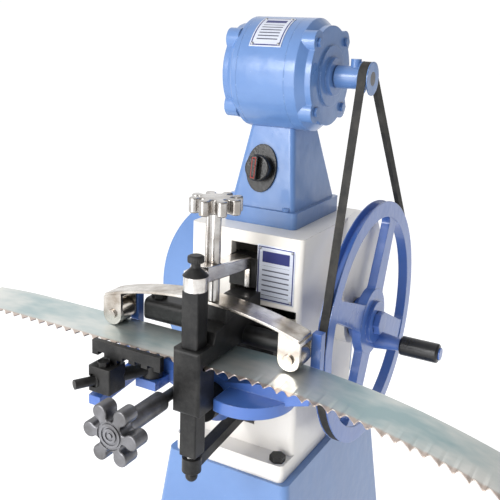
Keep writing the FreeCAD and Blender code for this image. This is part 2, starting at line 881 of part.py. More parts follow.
stand_low = column_height + stand_flange
stand_base_front = stand_front + stand_step
switch_lean = math.atan2(stand_top_front - stand_base_front, stand_top_z - stand_low)
switch_axis = V(0, -math.cos(switch_lean), math.sin(switch_lean))
switch_y = stand_base_front + (switch_z - stand_low) * math.tan(switch_lean)
switch_at = V(switch_x, switch_y, switch_z)


def make_motor_stand():
    """Hollow pyramid on a flange, hollowed at the top to cradle the motor."""
    flange = box((-stand_left, stand_right), (stand_front, stand_rear), (column_height, stand_low))
    flange = flange.makeFillet(stand_corner, edges_along(flange, AXIS_Z))
    s, w = stand_step, stand_wall
    base = ((-stand_left + s, stand_right - s), (stand_front + s, stand_rear - s))
    top = ((-stand_top_left, stand_top_right), (stand_top_front, stand_top_rear))
    tower = loft(rectangle(*base, stand_low), rectangle(*top, stand_top_z))
    corners = [e for e in tower.Edges if abs(e.Vertexes[0].Z - e.Vertexes[1].Z) > stand_flange]
    tower = tower.makeFillet(stand_corner, corners)
    hollow_foot = ((base[0][0] + w, base[0][1] - w), (base[1][0] + w, base[1][1] - w))
    hollow_top = ((top[0][0] + w, top[0][1] - w), (top[1][0] + w, top[1][1] - w))
    hollow = loft(rectangle(*hollow_foot, column_height), rectangle(*hollow_top, stand_top_z))
    shape = fuse(flange, tower).cut(hollow)
    shape = shape.cut(round_x(motor_y, motor_z, motor_radius, (motor_end, bell_face)))
    for seat in stand_bolt_places():
        shape = shape.cut(round_z(seat.x, seat.y, small_bolt_radius, (seat.z, seat.z + bolt_length)))
    stem = Part.makeCylinder(switch_stem_radius * 2, stand_wall * 4,
                             switch_at - switch_axis * stand_wall * 2, switch_axis)
    return shape.cut(stem)


def make_switch_plate():
    """Oval plate behind the switch knob."""
    oval = Part.Ellipse(V(0, switch_plate_height / 2, 0), V(switch_plate_width / 2, 0, 0), V(0, 0, 0))
    plate = Part.Face(Part.Wire(oval.toShape())).extrude(V(0, 0, switch_plate_thick))
    hole = round_z(0, 0, switch_stem_radius + sliding, (-overrun, switch_plate_thick + overrun))
    return place(plate.cut(hole), switch_at, switch_axis)


def make_switch_knob():
    """Rotary knob with a raised finger bar and a stem through the plate."""
    face = switch_at + switch_axis * (switch_plate_thick + seat_gap)
    disc = Part.makeCylinder(switch_knob_radius, switch_knob_height, V(0, 0, 0), AXIS_Z)
    rim = [e for e in disc.Edges if e.Length > switch_knob_radius and e.Vertexes[0].Z > 0]
    disc = disc.makeFillet(edge_round, rim)
    grip = box(about(0, switch_grip_width), about(0, switch_knob_radius * 2 - edge_round * 2),
               (0, switch_knob_height + switch_grip_height))
    grip = grip.makeFillet(edge_round, edges_along(grip, AXIS_Z))
    stem = round_z(0, 0, switch_stem_radius, (-switch_plate_thick - stand_wall, 0))
    return place(fuse(disc, grip, stem), face, switch_axis)


save("motor_stand", make_motor_stand())
save("stand_bolts", *[bolt(seat, -AXIS_Z, small_bolt_radius, bolt_length, small_bolt_across,
                           small_bolt_height) for seat in stand_bolt_places()])
save("switch_plate", make_switch_plate())
save("switch_knob", make_switch_knob())


def make_rear_guard():
    """Pressed cover behind the column: a round-shouldered pan, open to the rear."""
    def outline(inset, y):
        disc = round_y(guard_centre_x, guard_centre_z, guard_circle - inset, y)
        block = box((-guard_left + inset, guard_right - inset), y, (guard_low + inset, guard_high - inset))
        return block.makeFillet(guard_corner, edges_along(block, AXIS_Y)).common(disc)

    outer = outline(0, (column_depth, column_depth + guard_depth))
    pan = outer.cut(outline(guard_wall, (column_depth + guard_wall, column_depth + guard_depth + overrun)))
    for x, z in guard_bolt_places():
        pan = pan.cut(round_y(x, z, small_bolt_radius,
                              (column_depth - overrun, column_depth + guard_depth)))
    return pan


def arm_top(y):
    """Height of the head arm's sloping top at a distance in front of the column."""
    front = head_front - head_jaw_depth
    share = min(1, max(0, (front - y) / (front - arm_knee)))
    return arm_front_high + (arm_rear_high - arm_front_high) * share


def ram_box(height, clearance):
    """The square bore or body of a ram between two heights."""
    side = ram_side + 2 * clearance
    return box(about(head_x, side), about(-ram_y, side), height)


def make_setting_head():
    """Casting with two jaws round the blade, an arm to the column, and side arms."""
    x = about(head_x, head_width)
    jaw_rear = -head_front + head_jaw_depth
    block = box(x, (-head_front, jaw_rear), (head_low, head_high))
    block = block.makeFillet(cast_round, edges_along(block, AXIS_Z) + edges_along(block, AXIS_X))
    side = [(jaw_rear - cast_round * 2, arm_low), (0, arm_low),
            (0, arm_rear_high), (-arm_knee, arm_rear_high),
            (jaw_rear, arm_front_high), (jaw_rear - cast_round * 2, head_high - cast_round * 2)]
    arm = plate_yz(side, x)
    plate = box(about(head_x, head_plate_width), (-head_plate_thick, 0), (head_plate_low, head_plate_high))
    plate = plate.makeFillet(cast_round, edges_along(plate, AXIS_Y))
    cross = round_x(-cross_y, cross_z, cross_radius, (head_x, x[1] + cross_reach))
    rims = [e for e in cross.Edges if e.Vertexes[0].X > x[1] and e.Length > cross_radius * 4]
    cross = cross.makeFillet(cast_round, rims)
    left = box((x[0] - left_arm_reach, head_x), (-gauge_front, -gauge_front + left_arm_depth),
               (arm_low, arm_low + left_arm_height))
    head = fuse(block, arm, plate, cross, left)
    slot = box((x[0] - overrun, x[1] + overrun), (-head_front + head_wall, jaw_rear + overrun),
               (blade_low - blade_gap * 2, arm_low))
    head = head.cut(slot).cut(ram_box((head_low - overrun, head_high + overrun), sliding))
    for bx, bz in head_bolt_places():
        head = head.cut(round_y(bx, bz, small_bolt_radius, (-head_plate_thick - overrun, overrun)))
    for hole_x, radius in ((screw_x, screw_foot_radius + running), (guide_x, guide_radius)):
        head = head.cut(round_z(hole_x, -screw_y, radius, (screw_foot_low, arm_rear_high + overrun)))
    return head


def make_ram(height, tip):
    """Square bar with a narrow striking tip at its front; the tip is at the given end."""
    ram = ram_box(height, 0)
    ram = ram.makeFillet(ram_corner, edges_along(ram, AXIS_Z))
    behind = (-ram_y - ram_side / 2 + ram_tip_depth, -ram_y + ram_side)
    return ram.cut(box(about(head_x, ram_side * 2), behind, tip))


ram_low = blade_high + blade_gap
lower_ram_top = blade_low - blade_gap
save("rear_guard", make_rear_guard())
save("setting_head", make_setting_head())
save("small_bolts",
     *[bolt(V(x, -head_plate_thick, z), -AXIS_Y, small_bolt_radius, head_plate_thick + column_wall,
            small_bolt_across, small_bolt_height) for x, z in head_bolt_places()],
     *[bolt(V(x, column_depth + guard_wall, z), AXIS_Y, small_bolt_radius, guard_wall + column_wall,
            small_bolt_across, small_bolt_height) for x, z in guard_bolt_places()],
     bolt(V(-gauge_bolt_x, -gauge_bolt_y, gauge_high), AXIS_Z, small_bolt_radius, gauge_high - gauge_low,
          bolt_head_across, bolt_head_height))
upper_ram = make_ram((ram_low, ram_top), (ram_low - overrun, ram_low + ram_tip_height))
thumb_hole = (ram_top + bar_eye_height - thumb_depth - seat_gap, ram_top + overrun)
save("upper_ram", upper_ram.cut(round_z(head_x, -ram_y, thumb_radius + sliding, thumb_hole)))
save("lower_ram", make_ram((lower_ram_bottom, lower_ram_top),
                           (lower_ram_top - ram_tip_height, lower_ram_top + overrun)))


def make_slide():
    """Block that rides in the window, with a flange behind the wall and a lug for the lever."""
    half = window_width / 2
    z = (slide_low, slide_high)
    body = box((-half + sliding, half - sliding), (-slide_proud, slide_reach), z)
    flange_rear = column_wall + seat_gap + slide_flange
    flange = box((-half - slide_flange, half + slide_flange), (column_wall + seat_gap, flange_rear), z)
    lug_z = about(upper_lever_z, upper_lug_height)
    lug = box(about(upper_lever_x, upper_lever_width + 2 * upper_lug_wall),
              (flange_rear, flange_rear + upper_lug_depth), lug_z)
    gap = box(about(upper_lever_x, upper_lever_width + 2 * upper_lug_play),
              (flange_rear, flange_rear + upper_lug_depth + overrun),
              about(upper_lever_z, 2 * (upper_tip_radius + upper_lug_play)))
    return fuse(body, flange, lug).cut(gap)


def make_bar():
    """Polished bar from the slide to an eye over the ram, with a hook down the slide's face."""
    rear = -slide_proud
    side = [(-bar_front, bar_front_low), (rear, bar_rear_low),
            (rear, bar_rear_high), (-bar_front, bar_front_high)]
    bar = plate_yz(side, (-bar_left, bar_right))
    long_edges = [e for e in bar.Edges if abs(e.Vertexes[0].Y - e.Vertexes[1].Y) > ram_side]
    bar = bar.makeFillet(edge_round, long_edges)
    hook = box((bar_right - bar_hook_width, bar_right), (rear - bar_hook_thick, rear),
               (bar_rear_low - bar_hook_drop, bar_rear_high - edge_round))
    eye = round_z(head_x, -ram_y, bar_eye_radius, (ram_top, ram_top + bar_eye_height))
    bar = bar.cut(box((-bar_left - overrun, bar_right + overrun),
                      (-bar_front - overrun, -bar_front + bar_eye_radius),
                      (ram_top + bar_eye_height, bar_front_high + overrun)))
    shape = fuse(bar, hook, eye)
    shape = shape.cut(round_z(head_x, -ram_y, thumb_radius + running,
                              (ram_top - overrun, bar_front_high + overrun)))
    for x, radius in ((screw_x, screw_radius), (guide_x, guide_radius)):
        shape = shape.cut(round_z(x, -screw_y, radius + bar_pass, (bar_rear_low, bar_front_high)))
    return shape


def make_thumb_screw():
    """Black adjusting screw: stem, cone, neck and a small round head."""
    seat = ram_top + bar_eye_height + seat_gap
    stem = round_z(head_x, -ram_y, thumb_radius, (seat + seat_gap - thumb_depth, seat))
    cone = Part.makeCone(thumb_cone_radius, thumb_neck_radius, thumb_cone_height, V(head_x, -ram_y, seat))
    neck_top = seat + thumb_cone_height + thumb_neck_height
    neck = round_z(head_x, -ram_y, thumb_neck_radius, (seat, neck_top))
    head = round_z(head_x, -ram_y, thumb_head_radius, (neck_top, neck_top + thumb_head_height))
    head = head.makeFillet(edge_round, [e for e in head.Edges if e.Length > thumb_head_radius * 4])
    return fuse(stem, cone, neck, head)


leaf_rear = leaf_front - leaf_width
leaf_radius = (leaf_half_span ** 2 + leaf_drop ** 2) / (2 * leaf_drop)
leaf_y = (-leaf_front, -leaf_rear)


def leaf_disc(inset, y=leaf_y):
    """The large cylinder whose top is the leaf's surface, or a layer under it."""
    return round_y(leaf_x, leaf_top - leaf_radius, leaf_radius - inset, y)


def leaf_band(inset, thick, x):
    """A curved band of the leaf's shape between two X values."""
    band = leaf_disc(inset).cut(leaf_disc(inset + thick, (leaf_y[0] - overrun, leaf_y[1] + overrun)))
    return band.common(box(x, leaf_y, (leaf_top - leaf_drop * 2, leaf_top)))


def make_leaf():
    """Curved polished leaf, holed for the screw and the guide rod."""
    leaf = leaf_band(0, leaf_thick, about(leaf_x, leaf_half_span * 2))
    for x, radius in ((screw_x, screw_foot_radius), (guide_x, guide_radius)):
        leaf = leaf.cut(round_z(x, -screw_y, radius + sliding, (leaf_top - leaf_drop, leaf_top + overrun)))
    return leaf


def make_saddle():
    """Block between the sloping arm and the leaf."""
    x = about(head_x, head_width)
    side = [(-leaf_front, arm_top(leaf_front)), (-leaf_rear, arm_top(leaf_rear)), (-leaf_rear, leaf_top),
            (-leaf_front, leaf_top)]
    block = plate_yz(side, x).common(leaf_disc(leaf_thick))
    for hole_x, radius in ((screw_x, screw_foot_radius), (guide_x, guide_radius)):
        block = block.cut(round_z(hole_x, -screw_y, radius + sliding, (arm_front_high, leaf_top + overrun)))
    return block


roller_z = blade_high + blade_gap + roller_radius
roller_places = (-roller_left, roller_right)


def make_roller_fork(x):
    """Two round-ended cheeks under the leaf, joined by a web."""
    span = about(x, fork_cheek_radius * 2)
    web = leaf_band(leaf_thick, fork_web, span)
    cheeks = []
    for y in ((leaf_y[0], leaf_y[0] + fork_cheek), (leaf_y[1] - fork_cheek, leaf_y[1])):
        upper = box(span, y, (roller_z, leaf_top)).common(leaf_disc(leaf_thick))
        cheeks.append(fuse(upper, round_y(x, roller_z, fork_cheek_radius, y)))
    return fuse(web, *cheeks).cut(round_y(x, roller_z, roller_pin_radius, leaf_y))


def make_roller(x):
    """Roller that bears on the blade."""
    y = (leaf_y[0] + fork_cheek + seat_gap, leaf_y[1] - fork_cheek - seat_gap)
    body = round_y(x, roller_z, roller_radius, y)
    body = body.makeFillet(edge_round, [e for e in body.Edges if e.Length > roller_radius * 4])
    return body.cut(round_y(x, roller_z, roller_pin_radius + running, y))


def make_roller_pin(x):
    """Headed pin through the cheeks."""
    pin = round_y(x, roller_z, roller_pin_radius, leaf_y)
    return fuse(pin, round_y(x, roller_z, pin_head_radius, (leaf_y[0] - pin_head_height, leaf_y[0])))


save("vertical_slide", make_slide())
save("ram_bar", make_bar())
save("thumb_screw", make_thumb_screw())
save("pressure_screw", fuse(round_z(screw_x, -screw_y, screw_radius, (leaf_top, knob_z)),
                            round_z(screw_x, -screw_y, screw_foot_radius, (screw_foot_low, leaf_top))))
save("pressure_knob", place(star(knob_radius, knob_lobes, knob_lobe_radius, knob_valley_radius, knob_thick,
                                 edge_round), V(screw_x, -screw_y, knob_z), AXIS_Z))
save("guide_rod", round_z(guide_x, -screw_y, guide_radius, (screw_foot_low, knob_z - guide_gap)))
save("leaf_spring", make_leaf())
save("leaf_saddle", make_saddle())
save("roller_forks", *[make_roller_fork(x) for x in roller_places])
save("roller_pins", *[make_roller_pin(x) for x in roller_places])
save("left_roller", make_roller(-roller_left))
save("right_roller", make_roller(roller_right))


def make_blade_table():
    """Blue casting under the blade: hub, two rising arms, uprights and a forward arm."""
    y = (-table_front, -table_rear)
    hub = round_y(drum_x, drum_z, table_hub_radius, y)
    low = drum_z - table_hub_drop
    parts = [hub]
    for end, side in ((table_right, 1), (-table_left, -1)):
        outline = [(drum_x, low), (end, table_end_low), (end, table_end_low + table_arm_height),
                   (drum_x, low + table_arm_height + table_hub_drop)]
        parts.append(plate_xz(outline, y))
        x = (end - upright_thick, end) if side > 0 else (end, end + upright_thick)
        front = -leaf_rear + seat_gap
        upright = box(x, (front, front + upright_depth), (table_end_low, upright_high))
        parts.append(upright)
    parts.append(round_y(depth_x, depth_z, depth_boss_radius, (-depth_boss_front, -table_rear)))
    clear_x = head_x + head_width / 2 + edge_round
    half_round = round_z(plate_x, -plate_y, plate_radius, (plate_low, plate_high))
    parts.append(half_round.common(box((clear_x, plate_x + plate_radius),
                                       (-plate_y - plate_radius, -table_rear), (plate_low, plate_high))))
    lug_top = feed_z - feed_boss_height / 2 - seat_gap
    parts.append(box(about(-feed_pivot_x, feed_lug_width),
                     (-feed_pivot_y - feed_lug_width / 2, -table_rear), (lug_top - feed_lug_thick, lug_top)))
    t = outrigger_thick
    side = [(-outrigger_front, outrigger_front_z - t), (-table_rear, outrigger_rear_z - t),
            (-table_rear, outrigger_rear_z + t), (-table_front, outrigger_rear_z),
            (-outrigger_front, outrigger_front_z)]
    parts.append(plate_yz(side, about(-outrigger_x, outrigger_width)))
    drum_bore = round_y(drum_x, drum_z, drum_radius, (-depth_boss_front - overrun, y[1] + overrun))
    table = fuse(*parts).cut(drum_bore)
    table = table.cut(round_y(depth_x, depth_z, depth_thin_radius + running,
                              (-depth_boss_front - overrun, -depth_boss_front + depth_engage)))
    return table.cut(round_z(-feed_pivot_x, -feed_pivot_y, feed_pin_radius,
                             (lug_top - feed_lug_thick - overrun, lug_top + overrun)))


def make_gauge():
    """Black block behind the blade's back edge."""
    x = (-gauge_left, head_x - head_width / 2 - left_arm_reach)
    block = box(x, (-gauge_front, -gauge_rear), (gauge_low, gauge_high))
    block = block.makeFillet(gauge_corner, edges_along(block, AXIS_X)[:2])
    return block.cut(round_z(-gauge_bolt_x, -gauge_bolt_y, small_bolt_radius,
                             (gauge_low - overrun, gauge_high + overrun)))


depth_back = -depth_face + depth_knob_thick


def make_depth_knob():
    """Star knob with raised rings on its face."""
    knob = star(depth_knob_radius, depth_lobes, depth_lobe_radius, depth_valley_radius,
                depth_knob_thick, edge_round)
    for k in (1, 2, 3):
        radius = depth_ring_radius * k / 3
        trench = round_z(0, 0, radius, (depth_knob_thick - depth_ring_depth, depth_knob_thick + overrun))
        core = round_z(0, 0, radius - depth_ring_width,
                       (depth_knob_thick - depth_ring_depth, depth_knob_thick + overrun))
        knob = knob.cut(trench.cut(core))
    return place(knob, V(depth_x, depth_back, depth_z), -AXIS_Y)


save("blade_table", make_blade_table())
save("table_drum", round_y(drum_x, drum_z, drum_radius, (-drum_front, 0)))
save("back_gauge", make_gauge())
save("depth_knob", make_depth_knob())
save("depth_screw", fuse(round_y(depth_x, depth_z, depth_thick_radius, (depth_back, -depth_thick_end)),
                         round_y(depth_x, depth_z, depth_thin_radius,
                                 (-depth_thick_end, -depth_boss_front + depth_engage))))

feed_run = V(-feed_clamp_x + feed_pivot_x, -feed_clamp_y + feed_pivot_y, 0)
feed_way = V(feed_run.x, feed_run.y, 0).normalize()
feed_pivot = V(-feed_pivot_x, -feed_pivot_y, feed_z)


def make_feed_arm():
    """Round bar on a pivot boss, with a thinner stud at its free end."""
    boss = round_z(-feed_pivot_x, -feed_pivot_y, feed_boss_radius, about(feed_z, feed_boss_height))
    bar = Part.makeCylinder(feed_bar_radius, feed_run.Length + feed_clamp_side / 2, feed_pivot, feed_way)
    stud_length = feed_run.Length + feed_clamp_side / 2 + feed_stud_length
    stud = Part.makeCylinder(feed_stud_radius, stud_length, feed_pivot, feed_way)
    return fuse(boss, bar, stud).cut(round_z(-feed_pivot_x, -feed_pivot_y, feed_pin_radius + running,
                                             about(feed_z, feed_boss_height + overrun)))


def make_feed_clamp():
    """Square clamp on the bar."""
    side = about(0, feed_clamp_side)
    block = box(side, side, (feed_clamp_low, feed_clamp_high))
    block = block.makeFillet(edge_round, edges_along(block, AXIS_Z))
    block.translate(V(-feed_clamp_x, -feed_clamp_y, 0))
    block = block.cut(Part.makeCylinder(feed_bar_radius, feed_run.Length + feed_clamp_side,
                                        feed_pivot, feed_way))
    return block.cut(round_z(-feed_clamp_x, -feed_clamp_y - feed_bolt_forward, small_bolt_radius,
                             (feed_z + feed_bar_radius, feed_clamp_high + overrun)))


def make_pawl():
    """Long finger in front of the teeth, notched underneath, on a tab over the clamp."""
    y = (-pawl_front, -pawl_front + pawl_thick)
    bar = box((-pawl_left, -pawl_right), y, (pawl_low, pawl_high))
    pitch = (pawl_left - pawl_right) / (2 * pawl_notches + 1)
    for k in range(pawl_notches):
        start = -pawl_left + pitch * (2 * k + 1)
        bar = bar.cut(box((start, start + pitch), (y[0] - overrun, y[1] + overrun),
                          (pawl_low - overrun, pawl_low + pawl_notch / 2)))
    tab = box(about(-pawl_tab_x, pawl_tab_width), y, (feed_clamp_high, pawl_high))
    return fuse(bar, tab)


save("feed_arm", make_feed_arm())
save("feed_clamp", make_feed_clamp())
save("feed_pawl", make_pawl())
save("clamp_bolt", bolt(V(-feed_clamp_x, -feed_clamp_y - feed_bolt_forward, feed_clamp_high),
                        AXIS_Z, small_bolt_radius,
                        feed_clamp_high - feed_z - feed_bar_radius, small_bolt_across, small_bolt_height))
pin_foot = feed_z - feed_boss_height / 2 - seat_gap - feed_lug_thick
save("feed_pin", round_z(-feed_pivot_x, -feed_pivot_y, feed_pin_radius,
                         (pin_foot, feed_z + feed_boss_height / 2)))


def bar_between(start, end, height, x):
    """A flat bar in the YZ plane between two points."""
    along = V(0, end[0] - start[0], end[1] - start[1])
    side = V(0, -along.z, along.y).normalize() * (height / 2)
    corners = [(start[0] + side.y, start[1] + side.z), (end[0] + side.y, end[1] + side.z),
               (end[0] - side.y, end[1] - side.z), (start[0] - side.y, start[1] - side.z)]
    return plate_yz(corners, x)


def make_lower_lever():
    """Lever from the screw at the front through the column to the eccentric."""
    x = about(head_x, lever_width)
    front, pivot, rear = (-ram_y, lever_front_z), (lever_pivot_y, lever_pivot_z), (shaft_y, lever_rear_z)
    eye = round_z(head_x, -ram_y, lever_eye_radius, about(lever_front_z, lever_height + 2 * edge_round))
    lever = fuse(bar_between(front, pivot, lever_height, x), bar_between(pivot, rear, lever_height, x),
                 round_x(*pivot, lever_boss_radius, x), round_x(*rear, lever_rear_radius, x), eye)
    lever = lever.cut(round_x(*pivot, lever_pin_radius + running, (x[0] - overrun, x[1] + overrun)))
    return lever.cut(round_z(head_x, -ram_y, adjust_radius, about(lever_front_z, lever_eye_radius * 3)))


def make_upper_lever():
    """Lever from the slide's lug to a foot over the eccentric."""
    x = about(upper_lever_x, upper_lever_width)
    tip, pivot = (upper_tip_y, upper_lever_z), (upper_lever_pivot_y, upper_lever_z)
    rear = (shaft_y, upper_rear_z)
    height = upper_tip_radius * 2 - edge_round
    lever = fuse(bar_between(tip, pivot, height, x), bar_between(pivot, rear, height, x),
                 round_x(*tip, upper_tip_radius, x), round_x(*pivot, upper_boss_radius, x),
                 round_x(*rear, upper_tip_radius, x))
    return lever.cut(round_x(*pivot, upper_pin_radius + running, (x[0] - overrun, x[1] + overrun)))


eye_top = lever_front_z + lever_height / 2 + edge_round
save("lower_lever", make_lower_lever())
save("lower_lever_pin", round_x(lever_pivot_y, lever_pivot_z, lever_pin_radius, lever_pin_x))
save("adjusting_screw", fuse(
    round_z(head_x, -ram_y, adjust_radius, (adjust_ball_z, lower_ram_bottom - seat_gap)),
    Part.makeSphere(adjust_ball_radius, V(head_x, -ram_y, adjust_ball_z))))
save("lock_nut", hexagon(lock_nut_across, lock_nut_height, V(head_x, -ram_y, eye_top), AXIS_Z).cut(
    round_z(head_x, -ram_y, adjust_radius, (eye_top, eye_top + lock_nut_height * 2))))
save("upper_lever", make_upper_lever())
save("upper_lever_pin", round_x(upper_lever_pivot_y, upper_lever_z, upper_pin_radius, upper_pin_x))


def make_saw_blade():
    """Band-saw blade: flat over the table, drooping in an arc at each end, toothed in front.

    The strip is cut where its bends begin, so that the collision pieces follow it."""
    def end_arc(start_x, end_x, drop, z):
        span = end_x - start_x
        radius = (span ** 2 + drop ** 2) / (2 * drop)
        turn = math.asin(abs(span) / radius) / 2
        along = math.copysign(radius * math.sin(turn), span)
        middle = V(start_x + along, 0, z - radius * (1 - math.cos(turn)))
        return Part.Arc(V(start_x, 0, z), middle, V(end_x, 0, z - drop)).toShape()

    def edge(z):
        left = end_arc(-blade_flat_left, -blade_left_end, blade_left_drop, z)
        flat = Part.makeLine(V(-blade_flat_left, 0, z), V(blade_flat_right, 0, z))
        right = end_arc(blade_flat_right, blade_right_end, blade_right_drop, z)
        return [left, flat, right]

    ends = [Part.makeLine(V(x, 0, blade_low - drop), V(x, 0, blade_high - drop))
            for x, drop in ((-blade_left_end, blade_left_drop), (blade_right_end, blade_right_drop))]
    outline = Part.Wire(Part.__sortEdges__(edge(blade_low) + edge(blade_high) + ends))
    front = -blade_rear - blade_width
    blade = Part.Face(outline).extrude(V(0, blade_width, 0))
    blade.translate(V(0, front, 0))
    low = blade_low - max(blade_left_drop, blade_right_drop) - overrun
    gullets = []
    count = int((blade_left_end + blade_right_end) / tooth_pitch)
    for k in range(count):
        x = -blade_left_end + k * tooth_pitch
        foot, top = front + tooth_depth, front - overrun
        points = [(x + tooth_tip, top), (x + tooth_tip, front), (x + tooth_tip * 2, foot),
                  (x + tooth_pitch / 2, foot), (x + tooth_pitch, front), (x + tooth_pitch, top)]
        wire = Part.makePolygon([V(a, b, low) for a, b in points + points[:1]])
        gullets.append(Part.Face(wire).extrude(V(0, 0, blade_high + overrun - low)))
    blade = blade.cut(gullets)
    bends = (-blade_left_end - overrun, -blade_flat_left, blade_flat_right, blade_right_end + overrun)
    lengths = [blade.common(box(x, (front - overrun, overrun - blade_rear), (low, blade_high + overrun)))
               for x in zip(bends, bends[1:])]
    return Part.Compound([solid for length in lengths for solid in length.Solids])


save("saw_blade", make_saw_blade())
print(len(nodes), "nodes")
for name, shape in nodes.items():
    b = shape.BoundBox
    print(name, shape.isValid(), len(shape.Solids), round(shape.Volume / 1000, 1),
          [round(v) for v in (b.XMin, b.XMax, b.YMin, b.YMax, b.ZMin, b.ZMax)])
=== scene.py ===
import math
import bmesh
import bpy
import numpy as np
from mathutils import Matrix, Vector


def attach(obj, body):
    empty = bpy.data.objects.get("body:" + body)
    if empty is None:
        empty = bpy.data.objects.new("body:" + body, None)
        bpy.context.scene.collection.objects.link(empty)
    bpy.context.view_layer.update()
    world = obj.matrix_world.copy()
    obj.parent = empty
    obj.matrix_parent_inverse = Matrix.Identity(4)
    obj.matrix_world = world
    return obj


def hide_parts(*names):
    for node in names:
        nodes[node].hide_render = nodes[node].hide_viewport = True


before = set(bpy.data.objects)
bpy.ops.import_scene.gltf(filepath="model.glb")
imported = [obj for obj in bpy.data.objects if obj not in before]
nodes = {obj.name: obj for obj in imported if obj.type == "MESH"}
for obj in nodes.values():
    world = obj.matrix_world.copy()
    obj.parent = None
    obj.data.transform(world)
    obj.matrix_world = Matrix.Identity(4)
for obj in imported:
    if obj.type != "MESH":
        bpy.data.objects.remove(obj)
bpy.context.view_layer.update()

# The view of the photograph: the machine is seen from the front right, a little from above,
# so that the blade runs out of the picture on both sides.
eye = Vector((0.41700, -0.87951, 1.14800))
yaw, pitch, roll = (math.radians(v) for v in (29.68, 13.55, 1.80))
ahead = Vector((-math.sin(yaw) * math.cos(pitch), math.cos(yaw) * math.cos(pitch), -math.sin(pitch)))
level = Vector((math.cos(yaw), math.sin(yaw), 0))
upright = level.cross(ahead)
across = math.cos(roll) * level + math.sin(roll) * upright
upward = math.cos(roll) * upright - math.sin(roll) * level
camera = bpy.data.objects.new("camera", bpy.data.cameras.new("camera"))
camera.matrix_world = Matrix.Translation(eye) @ Matrix((across, upward, -ahead)).transposed().to_4x4()
camera.data.lens, camera.data.sensor_width = 55.75, 36
camera.data.shift_x, camera.data.shift_y = 0.04, -0.08
camera.data.clip_start, camera.data.clip_end = 0.05, 60
bpy.context.scene.collection.objects.link(camera)
bpy.context.scene.camera = camera
bpy.context.scene.view_settings.view_transform = "Standard"


# Plain pale studio: a matt floor that fades into a white surround. The surround is darker on
# the right, as in the photograph, where the right sides lie in shade; two soft lamps in front.
def linear(code):
    """An sRGB hex colour as linear red, green, blue and alpha."""
    parts = [int(code[k:k + 2], 16) / 255 for k in (1, 3, 5)]
    return [((c + 0.055) / 1.055) ** 2.4 if c > 0.04045 else c / 12.92 for c in parts] + [1.0]


def add_node(tree, kind, settings={}, links={}):
    """A shader node with its settings, which are properties, sockets or a ramp's stops, and its links."""
    node = tree.nodes.new("ShaderNode" + kind)
    for key, value in settings.items():
        if key == "stops":
            ramp = node.color_ramp.elements
            while len(ramp) < len(value):
                ramp.new(0.5)
            for stop, (position, colour) in zip(ramp, value):
                stop.position, stop.color = position, colour
        elif isinstance(key, str) and hasattr(node, key):
            setattr(node, key, value)
        else:
            node.inputs[key].default_value = value
    for key, source in links.items():
        tree.links.new(source, node.inputs[key])
    return node


def new_material(name):
    """A material with nothing in its tree but its shader and output; gives it, the tree and the shader."""
    material = bpy.data.materials.new(name)
    material.use_nodes = True
    return material, material.node_tree, material.node_tree.nodes["Principled BSDF"]


floor_reach = 20
floor_mesh = bpy.data.meshes.new("studio_floor")
floor_mesh.from_pydata([(-floor_reach, -floor_reach, 0), (floor_reach, -floor_reach, 0),
                        (floor_reach, floor_reach, 0), (-floor_reach, floor_reach, 0)], [], [(0, 1, 2, 3)])
floor = bpy.data.objects.new("studio_floor", floor_mesh)
# Matt painted board: nearly white, and it glows a little, so that it meets the surround unseen.
floor_paint, floor_tree, floor_shader = new_material("pale_studio_floor")
floor_grain = add_node(floor_tree, "TexNoise", {"Scale": 3.0, "Detail": 3.0},
                       {"Vector": add_node(floor_tree, "TexCoord").outputs["Object"]})
floor_tone = add_node(floor_tree, "ValToRGB", {"stops": [(0.3, linear("#F6F7F8")), (0.7, linear("#FAFAFA"))]},
                      {"Fac": floor_grain.outputs["Fac"]})
floor_tree.links.new(floor_tone.outputs["Color"], floor_shader.inputs["Base Color"])
floor_shader.inputs["Roughness"].default_value = 0.9
floor_shader.inputs["Emission Color"].default_value = linear("#FFFFFF")
floor_shader.inputs["Emission Strength"].default_value = 0.36
floor_mesh.materials.append(floor_paint)
bpy.context.scene.collection.objects.link(floor)

surround = bpy.data.worlds.new("white_surround")
surround.use_nodes = True
surround_tree = surround.node_tree
surround_way = add_node(surround_tree, "TexCoord").outputs["Generated"]
surround_side = add_node(surround_tree, "SeparateXYZ", {}, {0: surround_way})
surround_level = add_node(surround_tree, "MapRange",
                          {"From Min": -0.12, "From Max": 0.35, "To Min": 1.03, "To Max": 0.4},
                          {"Value": surround_side.outputs["X"]})
surround_light = surround_tree.nodes["Background"]
surround_tree.links.new(surround_level.outputs["Result"], surround_light.inputs["Strength"])
surround_light.inputs["Color"].default_value = linear("#FFFFFF")
bpy.context.scene.world = surround
lamp_target = Vector((0, 0, 0.9))
for lamp_name, place, size, power in (("soft_key", (-0.8, -2.6, 1.9), 0.9, 36),
                                      ("low_fill", (-0.5, -2.4, 0.8), 1.2, 18)):
    lamp = bpy.data.lights.new(lamp_name, "AREA")
    lamp.size, lamp.energy = size, power
    lamp_object = bpy.data.objects.new(lamp_name, lamp)
    lamp_object.location = place
    lamp_object.rotation_euler = (lamp_target - Vector(place)).to_track_quat("-Z", "Y").to_euler()
    bpy.context.scene.collection.objects.link(lamp_object)


# Pedestal and rear cover: folded and pressed steel sheet, primed, filled and sprayed with
# sky-blue enamel. The cover is bolted to the column's back, the column on the pedestal's top.
def soft_edge(tree, radius):
    """The rounded normal near edges, and a mask that rises from 0 to 1 where the edge turns."""
    rounded = add_node(tree, "Bevel", {"samples": 6, "Radius": radius})
    plain = add_node(tree, "NewGeometry")
    same = add_node(tree, "VectorMath", {"operation": "DOT_PRODUCT"},
                    {0: rounded.outputs["Normal"], 1: plain.outputs["Normal"]})
    mask = add_node(tree, "MapRange", {"From Min": 0.99, "From Max": 0.8}, {"Value": same.outputs["Value"]})
    return rounded.outputs["Normal"], mask.outputs["Result"]


